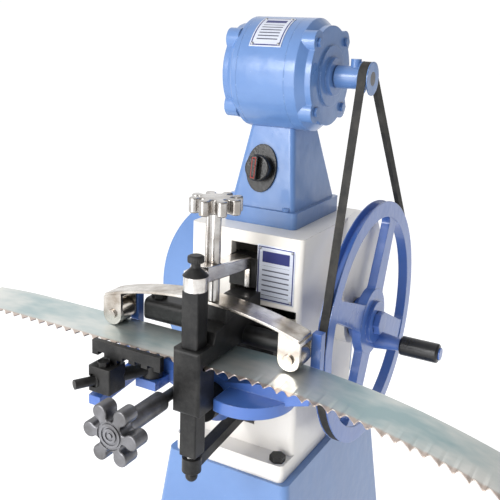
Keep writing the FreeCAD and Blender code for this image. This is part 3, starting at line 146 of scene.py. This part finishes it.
def make_enamel(name, light, dark, chip_and_highlight_tint, gloss):
    """Sprayed enamel: two close tones in clouds of 110 mm, with orange peel of 2 mm, the casting's waves of
    25 mm, and chips of 5 mm near the edges; on the blue enamels their paler tint is partly a painted
    highlight along the edges."""
    material, tree, shader = new_material(name)
    place = add_node(tree, "TexCoord").outputs["Object"]
    edge_normal, edge = soft_edge(tree, 0.0016)
    clouds = add_node(tree, "TexNoise", {"Scale": 9.0, "Detail": 4.0, "Roughness": 0.6}, {"Vector": place})
    tone = add_node(tree, "ValToRGB", {"stops": [(0.3, linear(dark)), (0.7, linear(light))]},
                    {"Fac": clouds.outputs["Fac"]})
    specks = add_node(tree, "TexNoise", {"Scale": 190.0, "Detail": 5.0, "Roughness": 0.7}, {"Vector": place})
    # Chips near the edges: on the blue enamels their paler tint is partly a painted highlight along the edges.
    edge_weighted_noise = add_node(tree, "Math", {"operation": "MULTIPLY_ADD", 1: 0.16}, {0: edge, 2: specks.outputs["Fac"]})
    chip_and_highlight_mask = add_node(tree, "ValToRGB", {"stops": [(0.71, linear("#000000")), (0.735, linear("#FFFFFF"))]},
                       {"Fac": edge_weighted_noise.outputs["Value"]})
    colour = add_node(tree, "Mix", {"data_type": "RGBA", 7: linear(chip_and_highlight_tint)},
                      {0: chip_and_highlight_mask.outputs["Color"], 6: tone.outputs["Color"]})
    tree.links.new(colour.outputs[2], shader.inputs["Base Color"])
    matt = add_node(tree, "MapRange", {"To Min": gloss, "To Max": gloss + 0.18},
                    {"Value": clouds.outputs["Fac"]})
    tree.links.new(matt.outputs["Result"], shader.inputs["Roughness"])
    peel = add_node(tree, "TexNoise", {"Scale": 480.0, "Detail": 2.0}, {"Vector": place})
    waves = add_node(tree, "TexNoise", {"Scale": 40.0, "Detail": 2.0}, {"Vector": place})
    rough = add_node(tree, "Bump", {"Strength": 0.12, "Distance": 0.0004},
                     {"Height": peel.outputs["Fac"], "Normal": edge_normal})
    wavy = add_node(tree, "Bump", {"Strength": 0.22, "Distance": 0.005},
                    {"Height": waves.outputs["Fac"], "Normal": rough.outputs["Normal"]})
    tree.links.new(wavy.outputs["Normal"], shader.inputs["Normal"])
    shader.inputs["Coat Weight"].default_value = 0.35
    shader.inputs["Coat Roughness"].default_value = 0.12
    return material


def dress(material, *names):
    """Give carried-over CAD nodes their finish."""
    for name in names:
        mesh = nodes[name].data
        mesh.materials.clear()
        mesh.materials.append(material)


# Sky-blue alkyd enamel, sprayed: glossy and a little uneven, with orange peel and a few paler chips at the edges,
# which are partly chips and partly a painted highlight along the edges.
sky_enamel = make_enamel("sky_blue_enamel", "#6488BE", "#5A7DB3", "#9DB6DC", 0.22)
dress(sky_enamel, "pedestal", "rear_guard")

# Column and bearing housing: grey cast iron, filled smooth and then sprayed with enamel. The
# housing is bolted on the column's right side and carries the main shaft.
# Cream enamel: warm white, softer in gloss than the blue, with brownish specks at its edges.
cream_enamel = make_enamel("cream_enamel", "#F3EFE9", "#ECE7DF", "#C4BBAD", 0.3)
dress(cream_enamel, "column", "bearing_housing")


# Foot bolts, small bolts and the stand's bolts: steel hexagon heads, blackened in hot salts
# and oiled. They hold the column, the head, the rear cover and the motor's stand.
def make_dark_finish(name, dark, rubbed, gloss, grain, metallic=0.3):
    """A dark base with paler rubbed edges and clouds of 26 mm, and a fine grain of a size in millimetres."""
    material, tree, shader = new_material(name)
    place = add_node(tree, "TexCoord").outputs["Object"]
    edge_normal, edge = soft_edge(tree, 0.0012)
    clouds = add_node(tree, "TexNoise", {"Scale": 38.0, "Detail": 6.0, "Roughness": 0.65}, {"Vector": place})
    edge_weighted_noise = add_node(tree, "Math", {"operation": "MULTIPLY_ADD", 1: 0.3}, {0: edge, 2: clouds.outputs["Fac"]})
    tone = add_node(tree, "ValToRGB", {"stops": [(0.42, linear(dark)), (0.8, linear(rubbed))]},
                    {"Fac": edge_weighted_noise.outputs["Value"]})
    tree.links.new(tone.outputs["Color"], shader.inputs["Base Color"])
    matt = add_node(tree, "MapRange", {"To Min": gloss, "To Max": gloss + 0.25},
                    {"Value": clouds.outputs["Fac"]})
    tree.links.new(matt.outputs["Result"], shader.inputs["Roughness"])
    pits = add_node(tree, "TexNoise", {"Scale": 1000.0 / grain, "Detail": 3.0}, {"Vector": place})
    bump = add_node(tree, "Bump", {"Strength": 0.35, "Distance": 0.0006},
                    {"Height": pits.outputs["Fac"], "Normal": edge_normal})
    tree.links.new(bump.outputs["Normal"], shader.inputs["Normal"])
    shader.inputs["Metallic"].default_value = metallic
    return material


# Black oxide on iron and steel, oiled: near black and satin, with the casting's grain of 1.6 mm.
black_oxide = make_dark_finish("black_oxide_iron", "#101011", "#3A3938", 0.32, 1.6)
dress(black_oxide, "foot_bolts", "small_bolts", "stand_bolts")

# Rating plate on the column: a bare aluminium sheet with a printed blue frame and ruled rows,
# held by four small dome-headed drive rivets. No words are on it.
column_front, pedestal_top = 0.10985, 0.62


def at(x, y, z):
    """A place in millimetres from the column's middle, its front face and the pedestal's top, in metres."""
    return np.stack(np.broadcast_arrays(x / 1000, y / 1000 - column_front, z / 1000 + pedestal_top), -1)


def make_piece(name, grids, material, body, sharp=40):
    """One closed mesh of grids of points: point i, j joins on to i + 1 and to j + 1, which goes round."""
    places, quads, first = [], [], 0
    for grid in grids:
        rows, columns = grid.shape[:2]
        near = np.arange(rows - 1)[:, None] * columns + first
        here, on = np.arange(columns), (np.arange(columns) + 1) % columns
        faces = [near + here, near + columns + here, near + columns + on, near + on]
        quads.append(np.stack(faces, -1).reshape(-1, 4))
        places.append(grid.reshape(-1, 3))
        first += rows * columns
    mesh = bpy.data.meshes.new(name)
    mesh.from_pydata(np.concatenate(places).tolist(), [], np.concatenate(quads).tolist())
    form = bmesh.new()
    form.from_mesh(mesh)
    bmesh.ops.remove_doubles(form, verts=form.verts, dist=1e-7)
    bmesh.ops.dissolve_degenerate(form, edges=form.edges, dist=1e-7)
    bmesh.ops.recalc_face_normals(form, faces=form.faces)
    form.to_mesh(mesh)
    form.free()
    mesh.shade_smooth()
    mesh.set_sharp_from_angle(angle=math.radians(sharp))
    mesh.materials.append(material)
    piece = bpy.data.objects.new(name, mesh)
    bpy.context.scene.collection.objects.link(piece)
    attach(piece, body)
    return piece


def slab(place, width, height, thick, edge, steps=24):
    """A thin plate as one closed grid. Its rings go from the back's middle over the rim to the front's;
    place(a, b, h) puts a point at a across, b up and h off the surface."""
    side = np.linspace(-1, 1, steps)
    loop_a = np.concatenate([side, np.ones(steps), -side, -np.ones(steps)]) * width / 2
    loop_b = np.concatenate([-np.ones(steps), side, np.ones(steps), -side]) * height / 2
    inner = 1 - 2 * edge / min(width, height)
    shares = (0.0, 0.25, 0.5, 0.75, 1.0)
    rings = [(s, 0.0) for s in shares] + [(1.0, thick - edge)] + [(inner * s, thick) for s in shares[::-1]]
    share, lift = (np.array(way)[:, None] for way in zip(*rings))
    return place(loop_a[None, :] * share, loop_b[None, :] * share, lift + 0 * loop_a[None, :])


def turned(profile, base, axis, steps=32):
    """A turned shape: a profile's radius r and height h give a circle, base + h*axis + r*(cos t*u + sin t*v)."""
    axis = np.array(axis, float) / np.linalg.norm(axis)
    u = np.cross(axis, (0.0, 0.0, 1.0) if abs(axis[2]) < 0.9 else (1.0, 0.0, 0.0))
    u = u / np.linalg.norm(u)
    v = np.cross(axis, u)
    t = np.linspace(0, 2 * math.pi, steps, endpoint=False)
    ring = np.cos(t)[:, None] * u + np.sin(t)[:, None] * v
    r, h = (np.array(profile, float) / 1000).T
    return np.array(base)[None, None, :] + h[:, None, None] * axis + r[:, None, None] * ring[None, :, :]


def make_printed_plate(name, width, height, band):
    """Brushed aluminium, printed in dark blue by distance from the edges in millimetres: a frame line with
    filled corners, ruled rows, and above them a solid band over the share band of the height."""
    line_from, line_to, corner_to, margin, row_thick, row_count, band_gap = 1.5, 3.0, 8.5, 7.0, 1.6, 11, 4.0
    band_foot = height * (0.5 - band)
    material, tree, shader = new_material(name)
    place = add_node(tree, "TexCoord").outputs["Object"]
    uv = add_node(tree, "SeparateXYZ", {}, {0: add_node(tree, "UVMap", {"uv_map": "print"}).outputs["UV"]})
    made = {"across": uv.outputs["X"], "up": uv.outputs["Y"]}
    for result, operation, *values in (
            ("off_middle", "ABSOLUTE", "across"),
            ("from_side", "SUBTRACT", width / 2, "off_middle"),
            ("off_level", "ABSOLUTE", "up"),
            ("from_end", "SUBTRACT", height / 2, "off_level"),
            ("from_edge", "MINIMUM", "from_side", "from_end"),
            ("past_rim", "GREATER_THAN", "from_edge", line_from),
            ("before_line_end", "LESS_THAN", "from_edge", line_to),
            ("line", "MULTIPLY", "past_rim", "before_line_end"),
            ("from_corner", "ADD", "from_side", "from_end"),
            ("near_corner", "LESS_THAN", "from_corner", corner_to),
            ("corners", "MULTIPLY", "past_rim", "near_corner"),
            ("inside", "GREATER_THAN", "from_edge", margin),
            ("above_foot", "ADD", "up", height / 2),
            ("in_pitch", "MODULO", "above_foot", height / row_count),
            ("on_row", "LESS_THAN", "in_pitch", row_thick),
            ("row_inside", "MULTIPLY", "on_row", "inside"),
            ("below_band", "LESS_THAN", "up", band_foot - band_gap),
            ("rows", "MULTIPLY", "row_inside", "below_band"),
            ("over_band_foot", "GREATER_THAN", "up", band_foot),
            ("band", "MULTIPLY", "over_band_foot", "inside"),
            ("line_and_corners", "MAXIMUM", "line", "corners"),
            ("printed", "MAXIMUM", "line_and_corners", "band")):
        numbers = {k: v for k, v in enumerate(values) if not isinstance(v, str)}
        links = {k: made[v] for k, v in enumerate(values) if isinstance(v, str)}
        made[result] = add_node(tree, "Math", {"operation": operation, **numbers}, links).outputs["Value"]
    brushed = add_node(tree, "Mapping", {"Scale": (60.0, 60.0, 2500.0)}, {"Vector": place})
    grain = add_node(tree, "TexNoise", {"Scale": 1.0, "Detail": 2.0}, {"Vector": brushed.outputs["Vector"]})
    metal = add_node(tree, "ValToRGB", {"stops": [(0.3, linear("#C6CBDA")), (0.7, linear("#DADFEA"))]},
                     {"Fac": grain.outputs["Fac"]})
    ruled = add_node(tree, "Mix", {"data_type": "RGBA", 7: linear("#565869")},
                     {0: made["rows"], 6: metal.outputs["Color"]})
    inked = add_node(tree, "Mix", {"data_type": "RGBA", 7: linear("#2C3272")},
                     {0: made["printed"], 6: ruled.outputs[2]})
    tree.links.new(inked.outputs[2], shader.inputs["Base Color"])
    bump = add_node(tree, "Bump", {"Strength": 0.1, "Distance": 0.0002}, {"Height": grain.outputs["Fac"]})
    tree.links.new(bump.outputs["Normal"], shader.inputs["Normal"])
    shader.inputs["Roughness"].default_value = 0.38
    shader.inputs["Metallic"].default_value = 0.25
    return material


def print_map(piece, measure):
    """A UV map in millimetres from the plate's middle, for its print. measure(points) gives a across, b up."""
    mesh = piece.data
    corner = np.empty(len(mesh.loops), dtype=np.int32)
    mesh.loops.foreach_get("vertex_index", corner)
    points = np.empty(len(mesh.vertices) * 3)
    mesh.vertices.foreach_get("co", points)
    points = (points.reshape(-1, 3)[corner] + (0, column_front, -pedestal_top)) * 1000
    mesh.uv_layers.new(name="print").data.foreach_set("uv", np.stack(measure(points), -1).ravel())


plate_x, plate_z, plate_width, plate_height, plate_thick, plate_edge = 41.8, 246.0, 49.0, 68.0, 0.7, 0.2
rivet_out, rivet_up = 20.6, 30.0
# Aluminium sheet with print baked on: pale, silky and cool beside the cream enamel.
plate_print = make_printed_plate("printed_aluminium_plate", plate_width, plate_height, 0.3)
column_sheet = slab(lambda a, b, h: at(plate_x + a, -h, plate_z + b), plate_width, plate_height, plate_thick,
                    plate_edge)
column_plate = make_piece("column_plate", [column_sheet], plate_print, "frame")
print_map(column_plate, lambda p: (p[:, 0] - plate_x, p[:, 2] - plate_z))


def make_bright_steel(name, bright, stained, gloss, line, along):
    """Polished steel: metal with stain clouds of 33 mm, and grinding lines of a width in millimetres that
    run along one axis."""
    material, tree, shader = new_material(name)
    place = add_node(tree, "TexCoord").outputs["Object"]
    edge_normal = soft_edge(tree, 0.0007)[0]
    clouds = add_node(tree, "TexNoise", {"Scale": 30.0, "Detail": 5.0, "Roughness": 0.6}, {"Vector": place})
    tone = add_node(tree, "ValToRGB", {"stops": [(0.35, linear(stained)), (0.62, linear(bright))]},
                    {"Fac": clouds.outputs["Fac"]})
    tree.links.new(tone.outputs["Color"], shader.inputs["Base Color"])
    matt = add_node(tree, "MapRange", {"To Min": gloss + 0.16, "To Max": gloss},
                    {"Value": clouds.outputs["Fac"]})
    tree.links.new(matt.outputs["Result"], shader.inputs["Roughness"])
    spread = [1000.0 / line] * 3
    spread[along] *= 0.03
    stretch = add_node(tree, "Mapping", {"Scale": spread}, {"Vector": place})
    lines = add_node(tree, "TexNoise", {"Scale": 1.0, "Detail": 2.0}, {"Vector": stretch.outputs["Vector"]})
    bump = add_node(tree, "Bump", {"Strength": 0.14, "Distance": 0.0003},
                    {"Height": lines.outputs["Fac"], "Normal": edge_normal})
    tree.links.new(bump.outputs["Normal"], shader.inputs["Normal"])
    shader.inputs["Metallic"].default_value = 1.0
    return material


# Zinc-plated rivet steel: small bright domes that catch one point of light each.
rivet_steel = make_bright_steel("plated_rivet_steel", "#C9CACC", "#8C8C8F", 0.25, 0.5, 2)
rivet_dome = [(0, 1.5), (0.8, 1.4), (1.4, 1.0), (1.8, 0.4), (1.9, -0.4), (0, -0.4)]
rivet_steps = 16
column_rivets = [turned(rivet_dome, at(plate_x + s * rivet_out, -plate_thick, plate_z + t * rivet_up),
                        (0, -1, 0), rivet_steps) for s in (-1, 1) for t in (-1, 1)]
make_piece("column_plate_rivets", column_rivets, rivet_steel, "frame")

# Main shaft, its bearings and the eccentrics in the column: turned from bar, left bare.
# Bare turned steel: dull grey, with turning lines of about 1 mm and no polish.
turned_steel = make_bright_steel("turned_grey_steel", "#838387", "#646364", 0.34, 0.9, 1)
dress(turned_steel, "main_shaft", "main_bearings", "eccentrics")

# Flywheel with its belt groove, nut and crank pin: cast iron on the main shaft, turned on the
# rim and painted by hand after fitting.
# Deep-blue enamel, brushed rather than sprayed: as glossy as the sky blue, darker and rougher below.
# Its paler chip tint near the edges is partly a painted highlight along the edges.
deep_enamel = make_enamel("deep_blue_enamel", "#4A70BA", "#3D60A8", "#8A9BC0", 0.2)
dress(deep_enamel, "flywheel", "crank_pin", "wheel_nut")

# Crank grip: a barrel turned from phenolic rod, loose on the crank's pin.
# Phenolic: black and glossy, with a soft 3 mm unevenness and a little dust.
phenolic = make_dark_finish("black_phenolic", "#0B0B0C", "#1C1B1B", 0.16, 3.0, metallic=0.0)
dress(phenolic, "crank_grip")

# Vee belt: wrapped rubber and cloth, moulded endless, from the motor's pulley to the flywheel.
# Dusty rubber: dull black with paler grey dust on its back and its edges.
belt_rubber = make_dark_finish("wrapped_belt_rubber", "#1D1D1D", "#4A4843", 0.62, 0.7, metallic=0.0)
dress(belt_rubber, "v_belt")

# Motor and its pyramid stand: cast iron, filled and sprayed in the pedestal's enamel, over the
# heads of the long bolts too. Inside are a wound core, a rotor, a shaft and two ball bearings.
dress(sky_enamel, "motor_shell", "motor_drive_bell", "motor_rear_bell", "motor_stand", "motor_pulley",
      "motor_bolts")
dress(turned_steel, "motor_bearings", "motor_shaft", "motor_rotor")
# Varnished copper wire on stacked core plates: warm reddish brown.
copper_core = make_bright_steel("wound_core", "#B87A4E", "#7A5234", 0.4, 1.2, 0)
dress(copper_core, "motor_stator")

# Motor plate: the same kind of printed sheet, bent to the casing and riveted near its top.
motor_axis_y, motor_axis_z, casing_radius = 72.0, 472.3, 65.0
casing_plate_x, casing_plate_turn, casing_plate_width, casing_plate_height = 7.5, 129.0, 40.0, 50.0
casing_rivet_out, casing_rivet_up = 16.5, 21.5


def round_casing(a, b, h):
    """A point a along the casing, b round it and h off it: its angle is the plate's turn less b over radius."""
    turn = math.radians(casing_plate_turn) - b / casing_radius
    far = casing_radius + h
    return at(casing_plate_x + a, motor_axis_y + far * np.cos(turn), motor_axis_z + far * np.sin(turn))


def unroll_casing(p):
    """Distance along the casing and round it of points in millimetres."""
    turn = np.arctan2(p[:, 2] - motor_axis_z, p[:, 1] - motor_axis_y)
    return p[:, 0] - casing_plate_x, (math.radians(casing_plate_turn) - turn) * casing_radius


casing_print = make_printed_plate("printed_motor_plate", casing_plate_width, casing_plate_height, 0.26)
casing_sheet = slab(round_casing, casing_plate_width, casing_plate_height, plate_thick, plate_edge)
casing_plate = make_piece("motor_plate", [casing_sheet], casing_print, "frame")
print_map(casing_plate, unroll_casing)
casing_rivets = []
for s in (-1, 1):
    for t in (-1, 1):
        out, up = np.array(s * casing_rivet_out), np.array(t * casing_rivet_up)
        foot, above = (round_casing(out, up, np.array(h)) for h in (plate_thick, plate_thick + 5))
        casing_rivets.append(turned(rivet_dome, foot, above - foot, rivet_steps))
make_piece("motor_plate_rivets", casing_rivets, rivet_steel, "frame")

# Painted screw on the stand's flange: a steel hexagon head under the same enamel.
flange_screw_profile = [(0, 4.5), (4.2, 4.5), (4.8, 3.9), (4.8, -0.6), (0, -0.6)]
flange_screw_x, flange_screw_y, flange_top = 33.0, 39.0, 313.0
flange_screw = turned(flange_screw_profile, at(flange_screw_x, flange_screw_y, flange_top), (0, 0, 1), 6)
make_piece("flange_screw", [flange_screw], sky_enamel, "frame", sharp=25)

# Rotary switch: a moulded phenolic knob with a finger bar on an oval plate, screwed to the
# stand's sloping front. The bar's face holds a plain dull-red inlay, with no words.
dress(phenolic, "switch_knob", "switch_plate")
switch_x, switch_y, switch_z, finger_bar_height = -5.0, 45.6, 360.0, 23.4
switch_lean = math.atan2(16.0, 99.0)
inlay_width, inlay_length, inlay_thick, inlay_edge = 5.6, 25.0, 0.35, 0.1
field_width, field_length, field_thick, field_edge = 3.4, 22.4, 0.2, 0.05


def on_switch(a, b, h):
    """A point a across, b up the sloping stand and h off the face of the finger bar."""
    out, rise = math.cos(switch_lean), math.sin(switch_lean)
    off = finger_bar_height + h
    return at(switch_x + a, switch_y + b * rise - off * out, switch_z + b * out + off * rise)


# Red moulding compound, rubbed: a dull brick red with no shine.
red_inlay = make_dark_finish("dull_red_inlay", "#8E2A26", "#B4463C", 0.4, 1.2, metallic=0.0)
inlay = slab(on_switch, inlay_width, inlay_length, inlay_thick, inlay_edge)
inlay_field = slab(lambda a, b, h: on_switch(a, b, h + inlay_thick), field_width, field_length, field_thick,
                   field_edge)
make_piece("switch_inlay", [inlay], red_inlay, "switch")
make_piece("switch_inlay_field", [inlay_field], phenolic, "switch")

# Blade table, its drum and the back gauge: the table is cast and painted like the flywheel,
# the drum that carries it and the gauge are blackened. A depth screw with a star knob moves it.
dress(deep_enamel, "blade_table")
dress(black_oxide, "table_drum", "back_gauge")
dress(turned_steel, "depth_screw", "depth_knob")

# Setting head with its jaws, rams and slide: cast iron and tool steel, blackened. The head is
# bolted to the column's front, the slide moves in the window above it.
dress(black_oxide, "setting_head", "upper_ram", "lower_ram", "vertical_slide", "thumb_screw", "leaf_saddle")
thumb_centre, knurl_low, knurl_high = (6.5, -117.5), 285.6, 292.4
knurl_radius, knurl_depth, knurl_teeth = 8.5, 0.5, 24


def knurl(centre, low, high, radius, depth, teeth):
    """A straight-knurled band: radius plus depth times the size of sin(teeth*t/2), closed inwards at its ends."""
    t = np.linspace(0, 2 * math.pi, teeth * 6, endpoint=False)[None, :]
    share = np.array([0.0, 0.0, 0.6, 1.0, 1.0, 0.6, 0.0, 0.0])[:, None]
    inset = np.array([3.0, 0.4, 0.2, 0.0, 0.0, 0.2, 0.4, 3.0])[:, None]
    z = np.array([low, low, low + 0.2, low + 0.8, high - 0.8, high - 0.2, high, high])[:, None]
    r = radius - inset + share * depth * np.abs(np.sin(teeth * t / 2))
    return at(centre[0] + r * np.cos(t), centre[1] + r * np.sin(t), z + 0 * t)


thumb_band = knurl(thumb_centre, knurl_low, knurl_high, knurl_radius, knurl_depth, knurl_teeth)
make_piece("thumb_knurl", [thumb_band], black_oxide, "thumb", sharp=25)

# Bar between the slide and the upper ram: a steel forging, ground and then polished by hand.
# Polished bar steel: the brightest metal here, with lines along the bar and faint brownish stains.
polished_bar = make_bright_steel("polished_steel_bar", "#ECEAE8", "#C4BDB6", 0.13, 0.8, 1)
dress(polished_bar, "ram_bar")

# Leaf spring, forks and rollers: spring steel and ground steel. The leaf lies on a saddle on the
# head's arm, under the pressure screw, so that the roller at each end presses on the blade.
# Polished strip: bright with lines along its length and browner oil stains than the bar has.
polished_leaf = make_bright_steel("polished_steel_leaf", "#DCD8D2", "#A1978C", 0.16, 0.8, 0)
dress(polished_leaf, "leaf_spring", "roller_forks", "left_roller", "right_roller", "roller_pins")

# Pressure screw with its star knob, guide rod, lever pin and lock nut: steel, turned and
# polished in the lathe.
# Polished round steel: bright, a little greyer than the bar, with its lines up and down.
polished_round = make_bright_steel("polished_steel_round", "#CFCDCB", "#A19B95", 0.18, 0.6, 2)
dress(polished_round, "pressure_screw", "pressure_knob", "guide_rod", "lower_lever_pin", "lock_nut")

# Levers with their screw and pin: cast steel, blackened, rocked by the eccentrics. The upper
# one lies inside the column.
dress(black_oxide, "lower_lever", "adjusting_screw", "upper_lever")
dress(turned_steel, "upper_lever_pin")

# Feed arm, clamp, pawl bar, bolt and pin: small blackened steel pieces under the table's lug.
dress(black_oxide, "feed_arm", "feed_clamp", "feed_pawl", "clamp_bolt", "feed_pin")

# Saw blade: hardened strip steel with milled teeth, laid over the table and under the rollers.
# It bends down at both ends, and the teeth that have passed the rams are set up and down in turn.
# Ground strip steel: pale, with a teal film of rust oil in patches of about 100 mm, streaks along
# it, and a pinkish ground band of 4 mm along the teeth.
blade_steel, blade_tree, blade_shader = new_material("blade_strip_steel")
blade_place = add_node(blade_tree, "TexCoord").outputs["Object"]
blade_run = add_node(blade_tree, "Mapping", {"Scale": (7.0, 14.0, 14.0)}, {"Vector": blade_place})
blade_film = add_node(blade_tree, "TexNoise", {"Scale": 1.0, "Detail": 4.0, "Roughness": 0.6},
                      {"Vector": blade_run.outputs["Vector"]})
blade_tone = add_node(blade_tree, "ValToRGB", {"stops": [(0.36, linear("#EAEAE5")), (0.5, linear("#D3D9D6")),
                                                         (0.66, linear("#A9BFC1"))]},
                      {"Fac": blade_film.outputs["Fac"]})
blade_split = add_node(blade_tree, "SeparateXYZ", {}, {0: blade_place})
tooth_band = add_node(blade_tree, "MapRange", {"From Min": -0.2235, "From Max": -0.2275},
                      {"Value": blade_split.outputs["Y"]})
blade_colour = add_node(blade_tree, "Mix", {"data_type": "RGBA", 7: linear("#CDBDB2")},
                        {0: tooth_band.outputs["Result"], 6: blade_tone.outputs["Color"]})
blade_tree.links.new(blade_colour.outputs[2], blade_shader.inputs["Base Color"])
blade_streak = add_node(blade_tree, "Mapping", {"Scale": (12.0, 900.0, 900.0)}, {"Vector": blade_place})
blade_lines = add_node(blade_tree, "TexNoise", {"Scale": 1.0, "Detail": 3.0},
                       {"Vector": blade_streak.outputs["Vector"]})
blade_bump = add_node(blade_tree, "Bump", {"Strength": 0.12, "Distance": 0.0003},
                      {"Height": blade_lines.outputs["Fac"]})
blade_tree.links.new(blade_bump.outputs["Normal"], blade_shader.inputs["Normal"])
blade_matt = add_node(blade_tree, "MapRange", {"To Min": 0.28, "To Max": 0.46},
                      {"Value": blade_film.outputs["Fac"]})
blade_tree.links.new(blade_matt.outputs["Result"], blade_shader.inputs["Roughness"])
blade_shader.inputs["Metallic"].default_value = 0.8
dress(blade_steel, "saw_blade")

strip_left, strip_right, strip_level, strip_half_thick = -349.0, 345.0, 170.7, 0.7
strip_rear, strip_tips, strip_plain = -50.0, -124.0, 64.0
left_bend, left_span, left_drop = -260.0, 89.0, 4.0
right_bend, right_span, right_drop = 55.0, 290.0, 48.0
tooth_count, tooth_depth, tooth_set, set_from = 50, 8.0, 0.8, 45


def blade_height(x):
    """The strip's middle height: flat between the bends, and past each an arc of radius
    (span squared + drop squared) / (2 drop), which reaches its drop at its span."""
    height = np.full_like(x, strip_level)
    for past, span, drop in ((left_bend - x, left_span, left_drop), (x - right_bend, right_span, right_drop)):
        bend = (span ** 2 + drop ** 2) / (2 * drop)
        height -= np.where(past > 0, bend - np.sqrt(bend ** 2 - np.clip(past, 0, span) ** 2), 0)
    return height


# One tooth, as shares of its pitch along the strip and of its depth: tip, steep face, round gullet, back.
tooth_way = np.array([0.0, 0.05, 0.09, 0.15, 0.26, 0.4, 0.56, 0.72, 0.87])
tooth_cut = np.array([0.0, 0.0, 0.6, 0.94, 1.0, 0.9, 0.66, 0.38, 0.14])
tooth_pitch = (strip_right - strip_left) / tooth_count
tooth_index = np.repeat(np.arange(tooth_count), len(tooth_way))
strip_x = np.append(strip_left + tooth_pitch * (tooth_index + np.tile(tooth_way, tooth_count)), strip_right)
cut = np.append(np.tile(tooth_cut, tooth_count), 0.0)
strip_edge = strip_tips + tooth_depth * cut
turn = np.append(np.where(tooth_index % 2 == 0, 1.0, -1.0), 1.0)
lean = turn * (1 - cut) * np.where(strip_x > set_from, tooth_set, 0)
# Each cross-section goes from the rear edge over the top to the teeth, and back underneath.
rows = np.array([0.0, 0.08, 0.3, 0.6, 0.93, 1.0])
ring_rows = np.concatenate([rows, rows[::-1]])[None, :]
ring_side = np.repeat([strip_half_thick, -strip_half_thick], len(rows))[None, :]
ring_y = strip_rear + np.where(ring_rows < 1, ring_rows * -strip_plain, strip_edge[:, None] - strip_rear)
ring_z = blade_height(strip_x)[:, None] + ring_side + np.where(ring_rows < 1, 0, lean[:, None])
strip = at(strip_x[:, None], ring_y, ring_z)
ends = [at(strip_x[k], ring_y[k], (ring_z - ring_side)[k])[None] for k in (0, -1)]
toothed_strip = make_piece("toothed_strip", [np.concatenate([ends[0], strip, ends[1]])], blade_steel, "blade",
                           sharp=30)
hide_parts("saw_blade")
